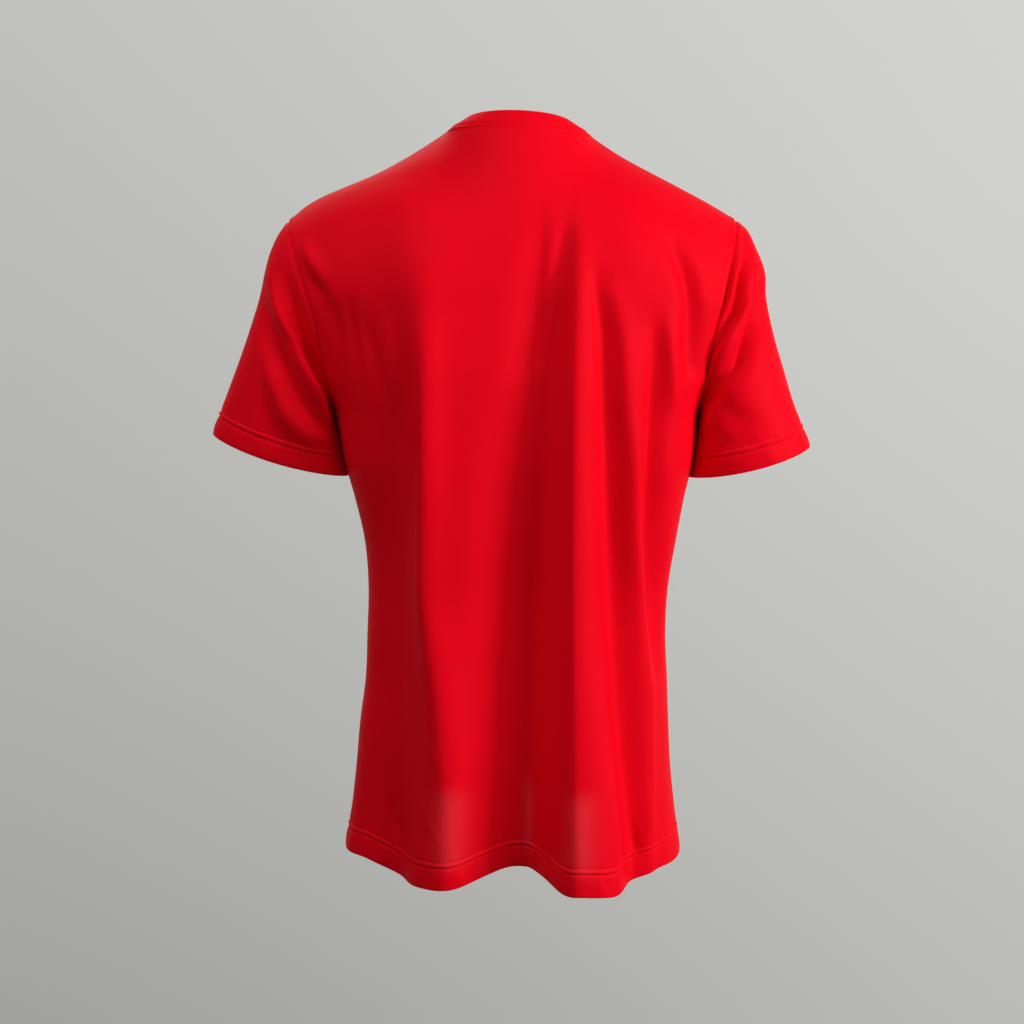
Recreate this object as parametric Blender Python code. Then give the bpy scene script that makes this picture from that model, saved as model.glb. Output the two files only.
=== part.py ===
"""A plain short-sleeved football jersey in the hollow form that it has when worn.

Metres, +Z up. The back of the jersey faces +Y and its front -Y, so the wearer's left is +X.
The origin is midway between the two neck points, where the wearer's shoulders hold it up.
"""

from math import pi, radians

import bpy
import numpy as np

# ---------------------------------------------------------------- sizes

CLOTH = 0.0014
HEM_CLOTH = 0.0024
NECK_CLOTH = 0.0022
SEAM_GAP = 0.0003

HEM_HEIGHT = -0.725
HEM_BAND = 0.0215
SLEEVE_BAND = 0.0190
BAND_STEP = 0.0012
UNDERARM_HEIGHT = -0.275
YOKE_HEIGHT = -0.170

NECK_CENTRE = -0.003
NECK_HALF_WIDTH = 0.068
NECK_HEIGHT = -0.0045
NECK_TILT = 0.033
NECK_BACK_REACH = 0.060
NECK_FRONT_REACH = 0.080
NECK_BACK_RISE = 0.001
NECK_FRONT_DROP = 0.084
NECK_BAND_WIDTH = 0.0160
# Bends of the neckline away from a plain half circle, seen from above and from the front.
NECK_BACK_BEND = 0.9
NECK_FRONT_BEND = 1.25
# How far inward each stretch of the neck band leans, as a share of its width.
NECK_LEAN = {"side": 0.96, "back": 0.62, "front": 0.76}
NECK_LEAN_BEND = 1.3

ARMHOLE_REACH = 0.058
FRONT_ARMHOLE_SCOOP = 0.05
SHOULDER_TIP = {"left": 0.2231, "right": 0.2150}
SHOULDER_TIP_SETBACK = -0.004

# Share of a ring's length, from each side, that runs up to a shoulder seam.
SHOULDER_SHARE = 0.32

# The yoke is flat at the middle of the neck and round from this far past its neck points.
YOKE_ROUND_FROM = 0.2
YOKE_ROUND_TO = 2.2
YOKE_FALL = 1.6
# How strongly, and how many times, the corner at each neck point is eased out of the yoke.
YOKE_EASE_PASSES = 14
YOKE_EASE = 3.0

# ---------------------------------------------------------------- grid

SHOULDER_CELLS = 11
BACK_NECK_CELLS = 16
FRONT_NECK_CELLS = 12
BODY_CELLS = 19
ARMPIT_CELLS = 5
YOKE_CELLS = 9
SLEEVE_CELLS = 10
NECK_BAND_CELLS = 2
CURVE_SAMPLES = 240


def table(columns, rows):
    """A table as named columns; its first column is the place that the others are read at."""
    return dict(zip(columns.split(), np.array(rows, float).T))


# Rings round the body: half widths to the wearer's left and right, and the reach to back and front.
BODY_RINGS = table(
    "height left right back front fullness",
    [
        (-0.725, 0.1755, 0.1690, 0.124, 0.120, 2.05),
        (-0.690, 0.1693, 0.1638, 0.122, 0.118, 2.05),
        (-0.640, 0.1633, 0.1580, 0.119, 0.115, 2.05),
        (-0.590, 0.1585, 0.1551, 0.116, 0.112, 2.08),
        (-0.545, 0.1523, 0.1531, 0.113, 0.110, 2.10),
        (-0.498, 0.1500, 0.1508, 0.111, 0.108, 2.12),
        (-0.451, 0.1483, 0.1530, 0.109, 0.107, 2.15),
        (-0.405, 0.1513, 0.1600, 0.110, 0.109, 2.20),
        (-0.360, 0.1608, 0.1678, 0.112, 0.112, 2.25),
        (-0.325, 0.1700, 0.1752, 0.114, 0.114, 2.28),
        (-0.300, 0.1742, 0.1775, 0.115, 0.115, 2.30),
        (-0.275, 0.1785, 0.1795, 0.116, 0.115, 2.30),
        (-0.237, 0.1930, 0.1925, 0.116, 0.115, 2.30),
        (-0.170, 0.2184, 0.2190, 0.112, 0.110, 2.30),
    ],
)

# The shoulder seam's drop below the neck point (0) as it runs to the shoulder tip (1).
SHOULDER_SEAM = table(
    "share left right",
    [
        (0.00, 0.0000, 0.0000),
        (0.20, 0.0200, 0.0190),
        (0.45, 0.0420, 0.0385),
        (0.70, 0.0580, 0.0572),
        (0.90, 0.0730, 0.0725),
        (1.00, 0.0870, 0.0815),
    ],
)

# A sleeve from the armhole (0) to its hem (1): its outer fold, underarm line and half depth.
SLEEVE_RINGS = {
    "left": table(
        "share outer_x outer_z inner_x inner_z depth",
        [
            (0.00, 0.2231, -0.0900, 0.1785, -0.2750, 0.0580),
            (0.06, 0.2312, -0.0995, 0.1820, -0.2762, 0.0590),
            (0.15, 0.2405, -0.1177, 0.1822, -0.2810, 0.0600),
            (0.24, 0.2460, -0.1361, 0.1810, -0.2870, 0.0608),
            (0.34, 0.2515, -0.1595, 0.1795, -0.2935, 0.0610),
            (0.50, 0.2622, -0.1928, 0.1770, -0.3045, 0.0590),
            (0.65, 0.2738, -0.2244, 0.1750, -0.3150, 0.0560),
            (0.80, 0.2860, -0.2550, 0.1732, -0.3255, 0.0525),
            (1.00, 0.3022, -0.2972, 0.1705, -0.3390, 0.0490),
        ],
    ),
    "right": table(
        "share outer_x outer_z inner_x inner_z depth",
        [
            (0.00, 0.2150, -0.0890, 0.1795, -0.2750, 0.0580),
            (0.06, 0.2252, -0.0965, 0.1830, -0.2762, 0.0590),
            (0.15, 0.2350, -0.1150, 0.1838, -0.2810, 0.0600),
            (0.24, 0.2438, -0.1361, 0.1832, -0.2870, 0.0608),
            (0.34, 0.2455, -0.1600, 0.1820, -0.2935, 0.0610),
            (0.50, 0.2535, -0.1970, 0.1803, -0.3045, 0.0590),
            (0.65, 0.2645, -0.2320, 0.1793, -0.3150, 0.0560),
            (0.80, 0.2758, -0.2665, 0.1780, -0.3255, 0.0525),
            (1.00, 0.2936, -0.3092, 0.1757, -0.3405, 0.0490),
        ],
    ),
}
SLEEVE_LENGTH = {"outer": 0.228, "inner": 0.075}
SLEEVE_HEM_DIP = 0.0045
# How fast a sleeve leaves the armhole's form for its own rings, and how its rows close up to it.
SLEEVE_RELEASE = 2.5
SLEEVE_ROW_BEND = 1.15

# Folds. Each runs along its stations: place across, height, spread to the left and right, lift.
FOLD_COLUMNS = "x z left right lift"
BACK_FOLDS = {
    "centre_valley": [
        (-0.0490, -0.095, 0.008, 0.006, -0.001),
        (-0.0465, -0.118, 0.010, 0.007, -0.005),
        (-0.0420, -0.150, 0.014, 0.009, -0.008),
        (-0.0360, -0.190, 0.021, 0.010, -0.011),
        (-0.0300, -0.225, 0.028, 0.012, -0.014),
        (-0.0250, -0.262, 0.034, 0.014, -0.017),
        (-0.0200, -0.310, 0.039, 0.016, -0.020),
        (-0.0160, -0.400, 0.043, 0.018, -0.025),
        (-0.0135, -0.500, 0.048, 0.019, -0.030),
        (-0.0125, -0.620, 0.054, 0.020, -0.037),
        (-0.0130, -0.725, 0.058, 0.020, -0.045),
    ],
    "upper_valley": [
        (-0.0260, -0.092, 0.014, 0.006, -0.001),
        (-0.0240, -0.132, 0.018, 0.007, -0.003),
        (-0.0200, -0.170, 0.022, 0.008, -0.004),
        (-0.0160, -0.215, 0.024, 0.010, -0.002),
    ],
    "valley_floor": [
        (0.0110, -0.430, 0.020, 0.020, -0.001),
        (0.0120, -0.600, 0.020, 0.022, -0.003),
        (0.0130, -0.725, 0.020, 0.022, -0.006),
    ],
    "right_lobe": [
        (-0.0540, -0.090, 0.008, 0.020, 0.001),
        (-0.0540, -0.130, 0.008, 0.018, 0.005),
        (-0.0530, -0.200, 0.008, 0.019, 0.009),
        (-0.0515, -0.300, 0.009, 0.022, 0.013),
        (-0.0505, -0.400, 0.010, 0.027, 0.016),
        (-0.0510, -0.500, 0.011, 0.034, 0.018),
        (-0.0520, -0.600, 0.012, 0.040, 0.018),
        (-0.0530, -0.725, 0.014, 0.044, 0.019),
    ],
    "lobe_shoulder": [
        (-0.0780, -0.480, 0.018, 0.016, 0.000),
        (-0.0810, -0.560, 0.020, 0.017, 0.004),
        (-0.0840, -0.640, 0.022, 0.018, 0.008),
        (-0.0860, -0.725, 0.024, 0.018, 0.012),
    ],
    "second_valley": [
        (-0.0740, -0.155, 0.006, 0.006, -0.001),
        (-0.0790, -0.200, 0.008, 0.007, -0.005),
        (-0.0820, -0.259, 0.009, 0.008, -0.006),
        (-0.0870, -0.352, 0.010, 0.011, -0.007),
        (-0.0970, -0.446, 0.011, 0.014, -0.009),
        (-0.1060, -0.542, 0.012, 0.014, -0.011),
        (-0.1140, -0.640, 0.012, 0.012, -0.011),
        (-0.1180, -0.725, 0.012, 0.010, -0.008),
    ],
    "second_ridge": [
        (-0.0880, -0.150, 0.008, 0.008, 0.000),
        (-0.0960, -0.200, 0.008, 0.009, 0.004),
        (-0.1030, -0.259, 0.009, 0.010, 0.006),
        (-0.1130, -0.352, 0.011, 0.011, 0.007),
        (-0.1250, -0.446, 0.012, 0.012, 0.006),
        (-0.1320, -0.542, 0.010, 0.012, 0.005),
        (-0.1350, -0.640, 0.008, 0.012, 0.005),
        (-0.1350, -0.725, 0.008, 0.012, 0.005),
    ],
    "third_ridge": [
        (-0.1390, -0.172, 0.006, 0.008, 0.000),
        (-0.1415, -0.200, 0.006, 0.009, 0.004),
        (-0.1450, -0.240, 0.006, 0.009, 0.005),
        (-0.1490, -0.285, 0.008, 0.009, 0.001),
    ],
    "left_lobe": [
        (0.0850, -0.120, 0.020, 0.030, 0.001),
        (0.0825, -0.168, 0.013, 0.028, 0.007),
        (0.0805, -0.220, 0.012, 0.028, 0.011),
        (0.0800, -0.305, 0.012, 0.028, 0.013),
        (0.0800, -0.400, 0.013, 0.029, 0.013),
        (0.0780, -0.446, 0.015, 0.030, 0.013),
        (0.0730, -0.520, 0.018, 0.030, 0.012),
        (0.0670, -0.620, 0.022, 0.028, 0.010),
        (0.0650, -0.725, 0.026, 0.028, 0.009),
    ],
    "left_flank_valley": [
        (0.1180, -0.220, 0.020, 0.014, 0.000),
        (0.1180, -0.320, 0.022, 0.016, -0.006),
        (0.1200, -0.450, 0.024, 0.020, -0.009),
        (0.1280, -0.600, 0.026, 0.028, -0.016),
        (0.1380, -0.725, 0.028, 0.030, -0.030),
    ],
    "left_streak": [
        (0.1210, -0.170, 0.008, 0.007, 0.000),
        (0.1170, -0.205, 0.008, 0.007, 0.002),
        (0.1150, -0.245, 0.008, 0.007, 0.002),
        (0.1130, -0.290, 0.008, 0.008, 0.000),
    ],
    "left_wedge_outer": [
        (0.1580, -0.155, 0.006, 0.006, 0.000),
        (0.1550, -0.180, 0.007, 0.006, -0.003),
        (0.1500, -0.215, 0.008, 0.007, -0.003),
        (0.1450, -0.260, 0.009, 0.008, 0.000),
    ],
    "left_wedge_inner": [
        (0.1440, -0.175, 0.006, 0.006, 0.000),
        (0.1370, -0.200, 0.007, 0.006, -0.003),
        (0.1300, -0.225, 0.008, 0.006, -0.003),
        (0.1270, -0.262, 0.009, 0.007, 0.000),
    ],
    "blade_drape": [
        (-0.1390, -0.108, 0.008, 0.009, -0.001),
        (-0.1500, -0.128, 0.008, 0.008, -0.006),
        (-0.1600, -0.150, 0.008, 0.008, -0.009),
        (-0.1660, -0.185, 0.009, 0.009, -0.007),
        (-0.1660, -0.230, 0.010, 0.009, -0.003),
    ],
    "armhole_drag_upper": [
        (0.2060, -0.110, 0.007, 0.007, 0.001),
        (0.1940, -0.128, 0.008, 0.008, 0.006),
        (0.1780, -0.155, 0.009, 0.009, 0.001),
    ],
    "armhole_drag_lower": [
        (0.2000, -0.142, 0.008, 0.008, -0.001),
        (0.1840, -0.162, 0.008, 0.008, -0.004),
        (0.1660, -0.205, 0.010, 0.010, -0.003),
        (0.1560, -0.280, 0.012, 0.012, 0.000),
    ],
}
FRONT_FOLDS = {
    "chest_left": [
        (0.085, -0.200, 0.030, 0.030, 0.001),
        (0.088, -0.350, 0.028, 0.030, 0.007),
        (0.082, -0.550, 0.028, 0.032, 0.011),
        (0.070, -0.725, 0.030, 0.032, 0.014),
    ],
    "chest_right": [
        (-0.090, -0.190, 0.030, 0.030, 0.001),
        (-0.092, -0.330, 0.030, 0.028, 0.007),
        (-0.096, -0.520, 0.030, 0.028, 0.010),
        (-0.098, -0.725, 0.032, 0.030, 0.012),
    ],
    "front_valley": [
        (0.004, -0.260, 0.030, 0.026, -0.001),
        (-0.002, -0.400, 0.032, 0.028, -0.008),
        (-0.008, -0.560, 0.034, 0.026, -0.015),
        (-0.014, -0.725, 0.036, 0.026, -0.024),
    ],
    "drag_left": [
        (0.172, -0.160, 0.009, 0.009, -0.001),
        (0.150, -0.215, 0.011, 0.011, -0.005),
        (0.120, -0.280, 0.012, 0.012, -0.001),
    ],
    "drag_right": [
        (-0.172, -0.165, 0.009, 0.009, -0.001),
        (-0.152, -0.225, 0.011, 0.011, -0.005),
        (-0.128, -0.295, 0.012, 0.012, -0.001),
    ],
}
SLEEVE_BACK_FOLDS = {
    "left": {
        "seam_valley": [
            (0.2190, -0.145, 0.009, 0.008, -0.001),
            (0.2090, -0.180, 0.009, 0.008, -0.009),
            (0.1970, -0.210, 0.008, 0.008, -0.019),
            (0.1870, -0.236, 0.007, 0.008, -0.017),
            (0.1800, -0.262, 0.007, 0.007, -0.008),
        ],
        "upper_ridge": [
            (0.2390, -0.138, 0.006, 0.007, 0.001),
            (0.2290, -0.168, 0.006, 0.007, 0.004),
            (0.2180, -0.188, 0.006, 0.007, 0.007),
            (0.2060, -0.208, 0.006, 0.006, 0.010),
            (0.2000, -0.229, 0.006, 0.006, 0.012),
            (0.1950, -0.248, 0.006, 0.006, 0.012),
            (0.1890, -0.266, 0.007, 0.006, 0.010),
            (0.1850, -0.284, 0.007, 0.006, 0.004),
        ],
        "middle_valley": [
            (0.2450, -0.160, 0.009, 0.009, -0.001),
            (0.2320, -0.200, 0.010, 0.009, -0.005),
            (0.2170, -0.238, 0.010, 0.009, -0.008),
            (0.2030, -0.268, 0.009, 0.008, -0.008),
            (0.1930, -0.286, 0.008, 0.007, -0.003),
        ],
        "lower_ridge": [
            (0.2360, -0.222, 0.010, 0.010, 0.001),
            (0.2270, -0.250, 0.012, 0.011, 0.006),
            (0.2160, -0.276, 0.013, 0.011, 0.008),
            (0.2020, -0.294, 0.013, 0.009, 0.006),
            (0.1890, -0.300, 0.010, 0.008, 0.002),
        ],
        "outer_valley": [
            (0.2460, -0.232, 0.008, 0.009, -0.001),
            (0.2400, -0.266, 0.009, 0.009, -0.003),
            (0.2340, -0.298, 0.009, 0.009, -0.002),
        ],
    },
    "right": {
        "seam_ridge": [
            (-0.2190, -0.108, 0.006, 0.006, 0.001),
            (-0.2110, -0.134, 0.006, 0.006, 0.008),
            (-0.1995, -0.172, 0.006, 0.006, 0.009),
            (-0.1900, -0.200, 0.006, 0.006, 0.002),
        ],
        "fan_valley": [
            (-0.2230, -0.108, 0.006, 0.006, -0.003),
            (-0.2200, -0.136, 0.006, 0.007, -0.013),
            (-0.2150, -0.160, 0.006, 0.007, -0.013),
            (-0.2060, -0.181, 0.006, 0.007, -0.012),
            (-0.1930, -0.203, 0.006, 0.007, -0.008),
        ],
        "long_valley": [
            (-0.2400, -0.138, 0.006, 0.007, -0.004),
            (-0.2345, -0.166, 0.008, 0.007, -0.012),
            (-0.2270, -0.192, 0.009, 0.008, -0.012),
            (-0.2180, -0.213, 0.009, 0.008, -0.012),
            (-0.2065, -0.232, 0.009, 0.008, -0.009),
            (-0.1930, -0.248, 0.008, 0.008, -0.003),
        ],
        "oval_ridge": [
            (-0.2140, -0.192, 0.006, 0.007, 0.001),
            (-0.2080, -0.212, 0.008, 0.008, 0.003),
            (-0.1960, -0.234, 0.008, 0.008, 0.003),
        ],
        "lower_valley": [
            (-0.1830, -0.260, 0.008, 0.008, -0.012),
            (-0.1970, -0.266, 0.009, 0.009, -0.009),
            (-0.2140, -0.281, 0.012, 0.009, -0.006),
            (-0.2300, -0.288, 0.012, 0.010, -0.001),
        ],
        "cuff_valley": [
            (-0.1850, -0.297, 0.008, 0.007, -0.008),
            (-0.2050, -0.303, 0.009, 0.007, -0.005),
            (-0.2300, -0.302, 0.010, 0.007, -0.001),
        ],
    },
}
SLEEVE_FRONT_FOLDS = {
    "left": {
        "front_valley": [
            (0.2430, -0.150, 0.010, 0.010, -0.001),
            (0.2230, -0.196, 0.011, 0.011, -0.006),
            (0.2010, -0.250, 0.010, 0.010, -0.003),
        ],
        "front_ridge": [
            (0.2560, -0.190, 0.012, 0.012, 0.001),
            (0.2350, -0.240, 0.012, 0.012, 0.005),
            (0.2110, -0.292, 0.012, 0.012, 0.003),
        ],
    },
    "right": {
        "front_valley": [
            (-0.2360, -0.145, 0.010, 0.010, -0.001),
            (-0.2190, -0.192, 0.011, 0.011, -0.006),
            (-0.2000, -0.246, 0.010, 0.010, -0.003),
        ],
        "front_ridge": [
            (-0.2490, -0.196, 0.012, 0.012, 0.001),
            (-0.2320, -0.244, 0.012, 0.012, 0.005),
            (-0.2090, -0.296, 0.012, 0.012, 0.003),
        ],
    },
}
FOLD_SAMPLES = 24
# The solids' cells are too wide to follow a sharper fold: it's made wider and lower.
NARROWEST_FOLD = 0.0115
FOLD_FADE = {"panel": 0.030, "sleeve": 0.016}
# Folds reach full lift where a surface's normal turns this far towards the back or the front.
FOLD_FACING = (0.05, 0.65)

# How far the back's hem rides up where its folds draw it in, or drops at its lobes.
HEM_LIFT = table(
    "x lift",
    [
        (-0.180, 0.000),
        (-0.166, 0.000),
        (-0.140, 0.002),
        (-0.115, -0.003),
        (-0.098, -0.006),
        (-0.080, -0.004),
        (-0.060, -0.002),
        (-0.044, -0.002),
        (-0.028, 0.005),
        (-0.010, 0.008),
        (0.030, 0.006),
        (0.060, -0.001),
        (0.090, -0.004),
        (0.112, -0.006),
        (0.135, 0.000),
        (0.155, 0.005),
        (0.172, 0.003),
        (0.180, 0.001),
    ],
)
HEM_LIFT_REACH = 0.12

RED = (0.72, 0.004, 0.018, 1.0)
KNIT_ROUGHNESS = 0.62
SHARP_EDGE = 50


# ---------------------------------------------------------------- curves


def read(rows, column, at):
    """One column of a table, read smoothly at the given places in its first column."""
    places, values = list(rows.values())[0], rows[column]
    slopes = np.gradient(values, places)
    at = np.clip(at, places[0], places[-1])
    left = np.clip(np.searchsorted(places, at, side="right") - 1, 0, len(places) - 2)
    span = places[left + 1] - places[left]
    t = (at - places[left]) / span
    return (
        values[left] * (1 + 2 * t) * (1 - t) ** 2
        + slopes[left] * span * t * (1 - t) ** 2
        + values[left + 1] * t * t * (3 - 2 * t)
        + slopes[left + 1] * span * t * t * (t - 1)
    )


def smooth(low, high, value):
    t = np.clip((value - low) / (high - low), 0, 1)
    return t * t * (3 - 2 * t)


def spread_along(points, shares):
    """The points at the given shares of a polyline's length."""
    steps = np.linalg.norm(np.diff(points, axis=0), axis=1)
    run = np.concatenate([[0], np.cumsum(steps)])
    return np.array([np.interp(shares * run[-1], run, axis) for axis in points.T]).T


def unit(vectors):
    return vectors / np.maximum(np.linalg.norm(vectors, axis=-1, keepdims=True), 1e-12)


def neckline(turn):
    """The neck seam at an angle from the left neck point (0) over the back to the right one (pi)."""
    back = np.sin(turn) >= 0
    rise = np.abs(np.sin(turn))
    across = NECK_HALF_WIDTH * np.cos(turn)
    y = np.where(back, NECK_BACK_REACH * rise**NECK_BACK_BEND, -NECK_FRONT_REACH * rise)
    z = NECK_HEIGHT + NECK_TILT * across
    z += np.where(back, NECK_BACK_RISE * rise, -NECK_FRONT_DROP * rise**NECK_FRONT_BEND)
    return np.stack([NECK_CENTRE + across, y, z], axis=-1)


def neck_band_lean(turn):
    """Which way the neck band stands from its seam: inward and up."""
    back = np.sin(turn) >= 0
    rise = np.abs(np.sin(turn))
    middle = np.where(back, NECK_LEAN["back"], NECK_LEAN["front"])
    inward = NECK_LEAN["side"] + (middle - NECK_LEAN["side"]) * rise**NECK_LEAN_BEND
    up = np.sqrt(1 - inward**2)
    level = np.stack([-np.cos(turn), -np.sin(turn), 0 * turn], axis=-1)
    return level * inward[:, None] + np.stack([0 * up, 0 * up, up], axis=-1)


def shoulder_seam(side, shares):
    """Points on a shoulder seam at shares of its run from the neck point to the shoulder tip."""
    sign = 1 if side == "left" else -1
    start = neckline(0.0 if side == "left" else pi)
    x = start[0] + (sign * SHOULDER_TIP[side] - start[0]) * shares
    y = start[1] + (SHOULDER_TIP_SETBACK - start[1]) * shares
    z = start[2] - read(SHOULDER_SEAM, side, shares)
    return np.stack([x, y, z], axis=-1)


# ---------------------------------------------------------------- body panels


def column_shares(neck_cells):
    side = np.linspace(0, SHOULDER_SHARE, SHOULDER_CELLS + 1)
    middle = np.linspace(SHOULDER_SHARE, 1 - SHOULDER_SHARE, neck_cells + 1)
    return np.concatenate([side, middle[1:-1], (1 - side)[::-1]])


def ring(height, edge_reach, back, shares):
    """Half of a body ring, from its left edge to its right one over the back or the front."""
    rise = smooth(UNDERARM_HEIGHT, YOKE_HEIGHT, height) * (0 if back else FRONT_ARMHOLE_SCOOP)
    reach = read(BODY_RINGS, "back" if back else "front", height)
    power = 2 / read(BODY_RINGS, "fullness", height)
    edge = np.arcsin((edge_reach / reach) ** (1 / power))
    turn = np.linspace(edge, pi - edge, CURVE_SAMPLES)
    across, out = np.cos(turn), np.sin(turn)
    left, right = (read(BODY_RINGS, side, height) * (1 - rise) for side in ("left", "right"))
    x = np.where(across > 0, left, right) * np.sign(across) * np.abs(across) ** power
    y = reach * out**power * (1 if back else -1)
    curve = np.stack([x, y, np.full_like(x, height)], axis=-1)
    return spread_along(curve, shares)


def top_edge(back, neck_cells):
    """The panel's top: up the left shoulder seam, along the neckline and down the right seam."""
    run = np.linspace(1, 0, SHOULDER_CELLS + 1)
    turn = np.linspace(0, pi, neck_cells + 1) * (1 if back else -1)
    return np.concatenate(
        [
            shoulder_seam("left", run),
            neckline(turn)[1:-1],
            shoulder_seam("right", run[::-1]),
        ]
    )


def body_heights():
    band_top = HEM_HEIGHT + HEM_BAND
    body = np.linspace(band_top + BAND_STEP, UNDERARM_HEIGHT, BODY_CELLS + 1)
    return np.concatenate([[HEM_HEIGHT, HEM_HEIGHT + HEM_BAND / 2, band_top], body])


def body_panel(back):
    """The panel's middle surface: rows from the hem up, columns from the wearer's left to the right."""
    neck_cells = BACK_NECK_CELLS if back else FRONT_NECK_CELLS
    shares = column_shares(neck_cells)
    rows = [ring(height, 0.0, back, shares) for height in body_heights()]
    for turn in np.linspace(0, pi / 2, ARMPIT_CELLS + 1)[1:]:
        height = YOKE_HEIGHT + (UNDERARM_HEIGHT - YOKE_HEIGHT) * np.cos(turn)
        rows.append(ring(height, ARMHOLE_REACH * np.sin(turn), back, shares))
    yoke, top = rows[-1], top_edge(back, neck_cells)
    from_neck = np.abs(shares - 0.5) / (0.5 - SHOULDER_SHARE)
    roundness = smooth(YOKE_ROUND_FROM, YOKE_ROUND_TO, from_neck)
    for share in np.linspace(0, 1, YOKE_CELLS + 1)[1:]:
        rise = share + roundness * (np.sin(share * pi / 2) - share)
        flat = 1 - share**YOKE_FALL
        draw_in = flat + roundness * (np.cos(share * pi / 2) - flat)
        row = yoke + (top - yoke) * rise[:, None]
        row[:, 1] = top[:, 1] + (yoke[:, 1] - top[:, 1]) * draw_in
        rows.append(row)
    return eased_yoke(np.array(rows))


def eased_yoke(panel):
    """The panel with the corner at each neck point eased out of the rows below the top."""
    eased = panel.copy()
    for _ in range(YOKE_EASE_PASSES):
        middle = (eased[:, :-2] + 2 * eased[:, 1:-1] + eased[:, 2:]) / 4
        for step in range(1, YOKE_CELLS):
            row = len(panel) - 1 - step
            share = min(1, YOKE_EASE * min(step, YOKE_CELLS - step) / YOKE_CELLS)
            eased[row, 1:-1] += (middle[row] - eased[row, 1:-1]) * share
    return eased


# ---------------------------------------------------------------- sleeves and neck band


def armhole(side, back_panel, front_panel):
    """The closed armhole seam from the shoulder tip down one panel's edge and up the other's."""
    first_row = len(body_heights()) - 1
    edge = 0 if side == "left" else -1
    back_edge = back_panel[first_row:, edge]
    front_edge = front_panel[first_row:, edge]
    down, up = (front_edge, back_edge) if side == "left" else (back_edge, front_edge)
    return np.concatenate([down[::-1], up[1:-1]])


def loop_turns(loop):
    """Angle of each point of an armhole, 0 at the shoulder tip and pi at the underarm."""
    half = len(loop) // 2
    closed = np.concatenate([loop, loop[:1]])
    steps = np.linalg.norm(np.diff(closed, axis=0), axis=1)
    down = np.concatenate([[0], np.cumsum(steps[:half])])
    up = np.concatenate([[0], np.cumsum(steps[half:])])
    return np.concatenate([pi * down / down[-1], (pi + pi * up / up[-1])[1:-1]])


def sleeve(side, loop):
    """The sleeve's middle surface: rows from the armhole to the hem, columns round the arm."""
    turn = loop_turns(loop)
    outward = (1 + np.cos(turn)) / 2
    length = SLEEVE_LENGTH["inner"] + (SLEEVE_LENGTH["outer"] - SLEEVE_LENGTH["inner"]) * outward
    band, step = SLEEVE_BAND / length, BAND_STEP / length
    spaced = np.linspace(0, 1, SLEEVE_CELLS + 1) ** SLEEVE_ROW_BEND
    shares = [(1 - band - step) * place for place in spaced]
    shares += [1 - band, 1 - band / 2, np.ones_like(band)]
    start = sleeve_ring(side, np.zeros_like(turn), turn)
    rows = []
    for share in shares:
        hold = ((1 - share) ** SLEEVE_RELEASE)[:, None]
        rows.append(sleeve_ring(side, share, turn) + (loop - start) * hold)
    return np.array(rows)


def sleeve_ring(side, share, turn):
    sign = 1 if side == "left" else -1
    rings = SLEEVE_RINGS[side]
    outer = np.stack([read(rings, "outer_x", share), read(rings, "outer_z", share)])
    inner = np.stack([read(rings, "inner_x", share), read(rings, "inner_z", share)])
    middle, half = (outer + inner) / 2, (outer - inner) / 2
    x, z = middle + half * np.cos(turn)
    y = -sign * read(rings, "depth", share) * np.sin(turn)
    dip = SLEEVE_HEM_DIP * share**3 * np.sin(turn) ** 2
    return np.stack([sign * x, y, z - dip], axis=-1)


def neck_band():
    """The neck band's middle surface: rows from its seam up, columns round the neck."""
    back = np.linspace(0, pi, BACK_NECK_CELLS + 1)
    front = np.linspace(pi, 2 * pi, FRONT_NECK_CELLS + 1)
    turn = np.concatenate([back, front[1:-1]])
    seam, lean = neckline(turn), neck_band_lean(turn)
    widths = np.linspace(0, NECK_BAND_WIDTH, NECK_BAND_CELLS + 1)
    return np.array([seam + lean * width for width in widths])


# ---------------------------------------------------------------- folds


def centre_line(stations):
    """A fold's stations as a table, read smoothly at even shares of its run."""
    rows = table("run " + FOLD_COLUMNS, [(i, *station) for i, station in enumerate(stations)])
    at = np.linspace(0, len(stations) - 1, FOLD_SAMPLES + 1)
    return {column: read(rows, column, at) for column in FOLD_COLUMNS.split()}


def fold_lift(stations, x, z):
    """How far one fold lifts the points at x and z."""
    line = centre_line(stations)
    nearest = np.full(x.shape, np.inf)
    lift = np.zeros(x.shape)
    for i in range(FOLD_SAMPLES):
        run_x = line["x"][i + 1] - line["x"][i]
        run_z = line["z"][i + 1] - line["z"][i]
        along = ((x - line["x"][i]) * run_x + (z - line["z"][i]) * run_z) / (run_x**2 + run_z**2)
        along = np.clip(along, 0, 1)
        off_x = x - line["x"][i] - along * run_x
        off_z = z - line["z"][i] - along * run_z
        distance = np.hypot(off_x, off_z)
        here = {name: line[name][i] + along * np.diff(line[name])[i] for name in line}
        left, right = (np.maximum(here[side], NARROWEST_FOLD) for side in ("left", "right"))
        spread = np.where(off_x > 0, left, right)
        widened = (left + right) / (here["left"] + here["right"])
        falling = here["lift"] / widened * np.exp(-((distance / spread) ** 2))
        closer = distance < nearest
        lift = np.where(closer, falling, lift)
        nearest = np.minimum(nearest, distance)
    return lift


def edge_fade(surface, edges, reach):
    """0 along the given edges, rising to 1 at the given distance from them."""
    fade = np.ones(surface.shape[:2])
    for edge in edges:
        axis = 0 if "row" in edge else 1
        grid = surface if "first" in edge else np.flip(surface, axis)
        steps = np.linalg.norm(np.diff(grid, axis=axis), axis=2)
        distance = np.concatenate([0 * steps.take([0], axis), np.cumsum(steps, axis)], axis)
        here = smooth(0, reach, distance)
        fade *= here if "first" in edge else np.flip(here, axis)
    return fade


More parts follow.
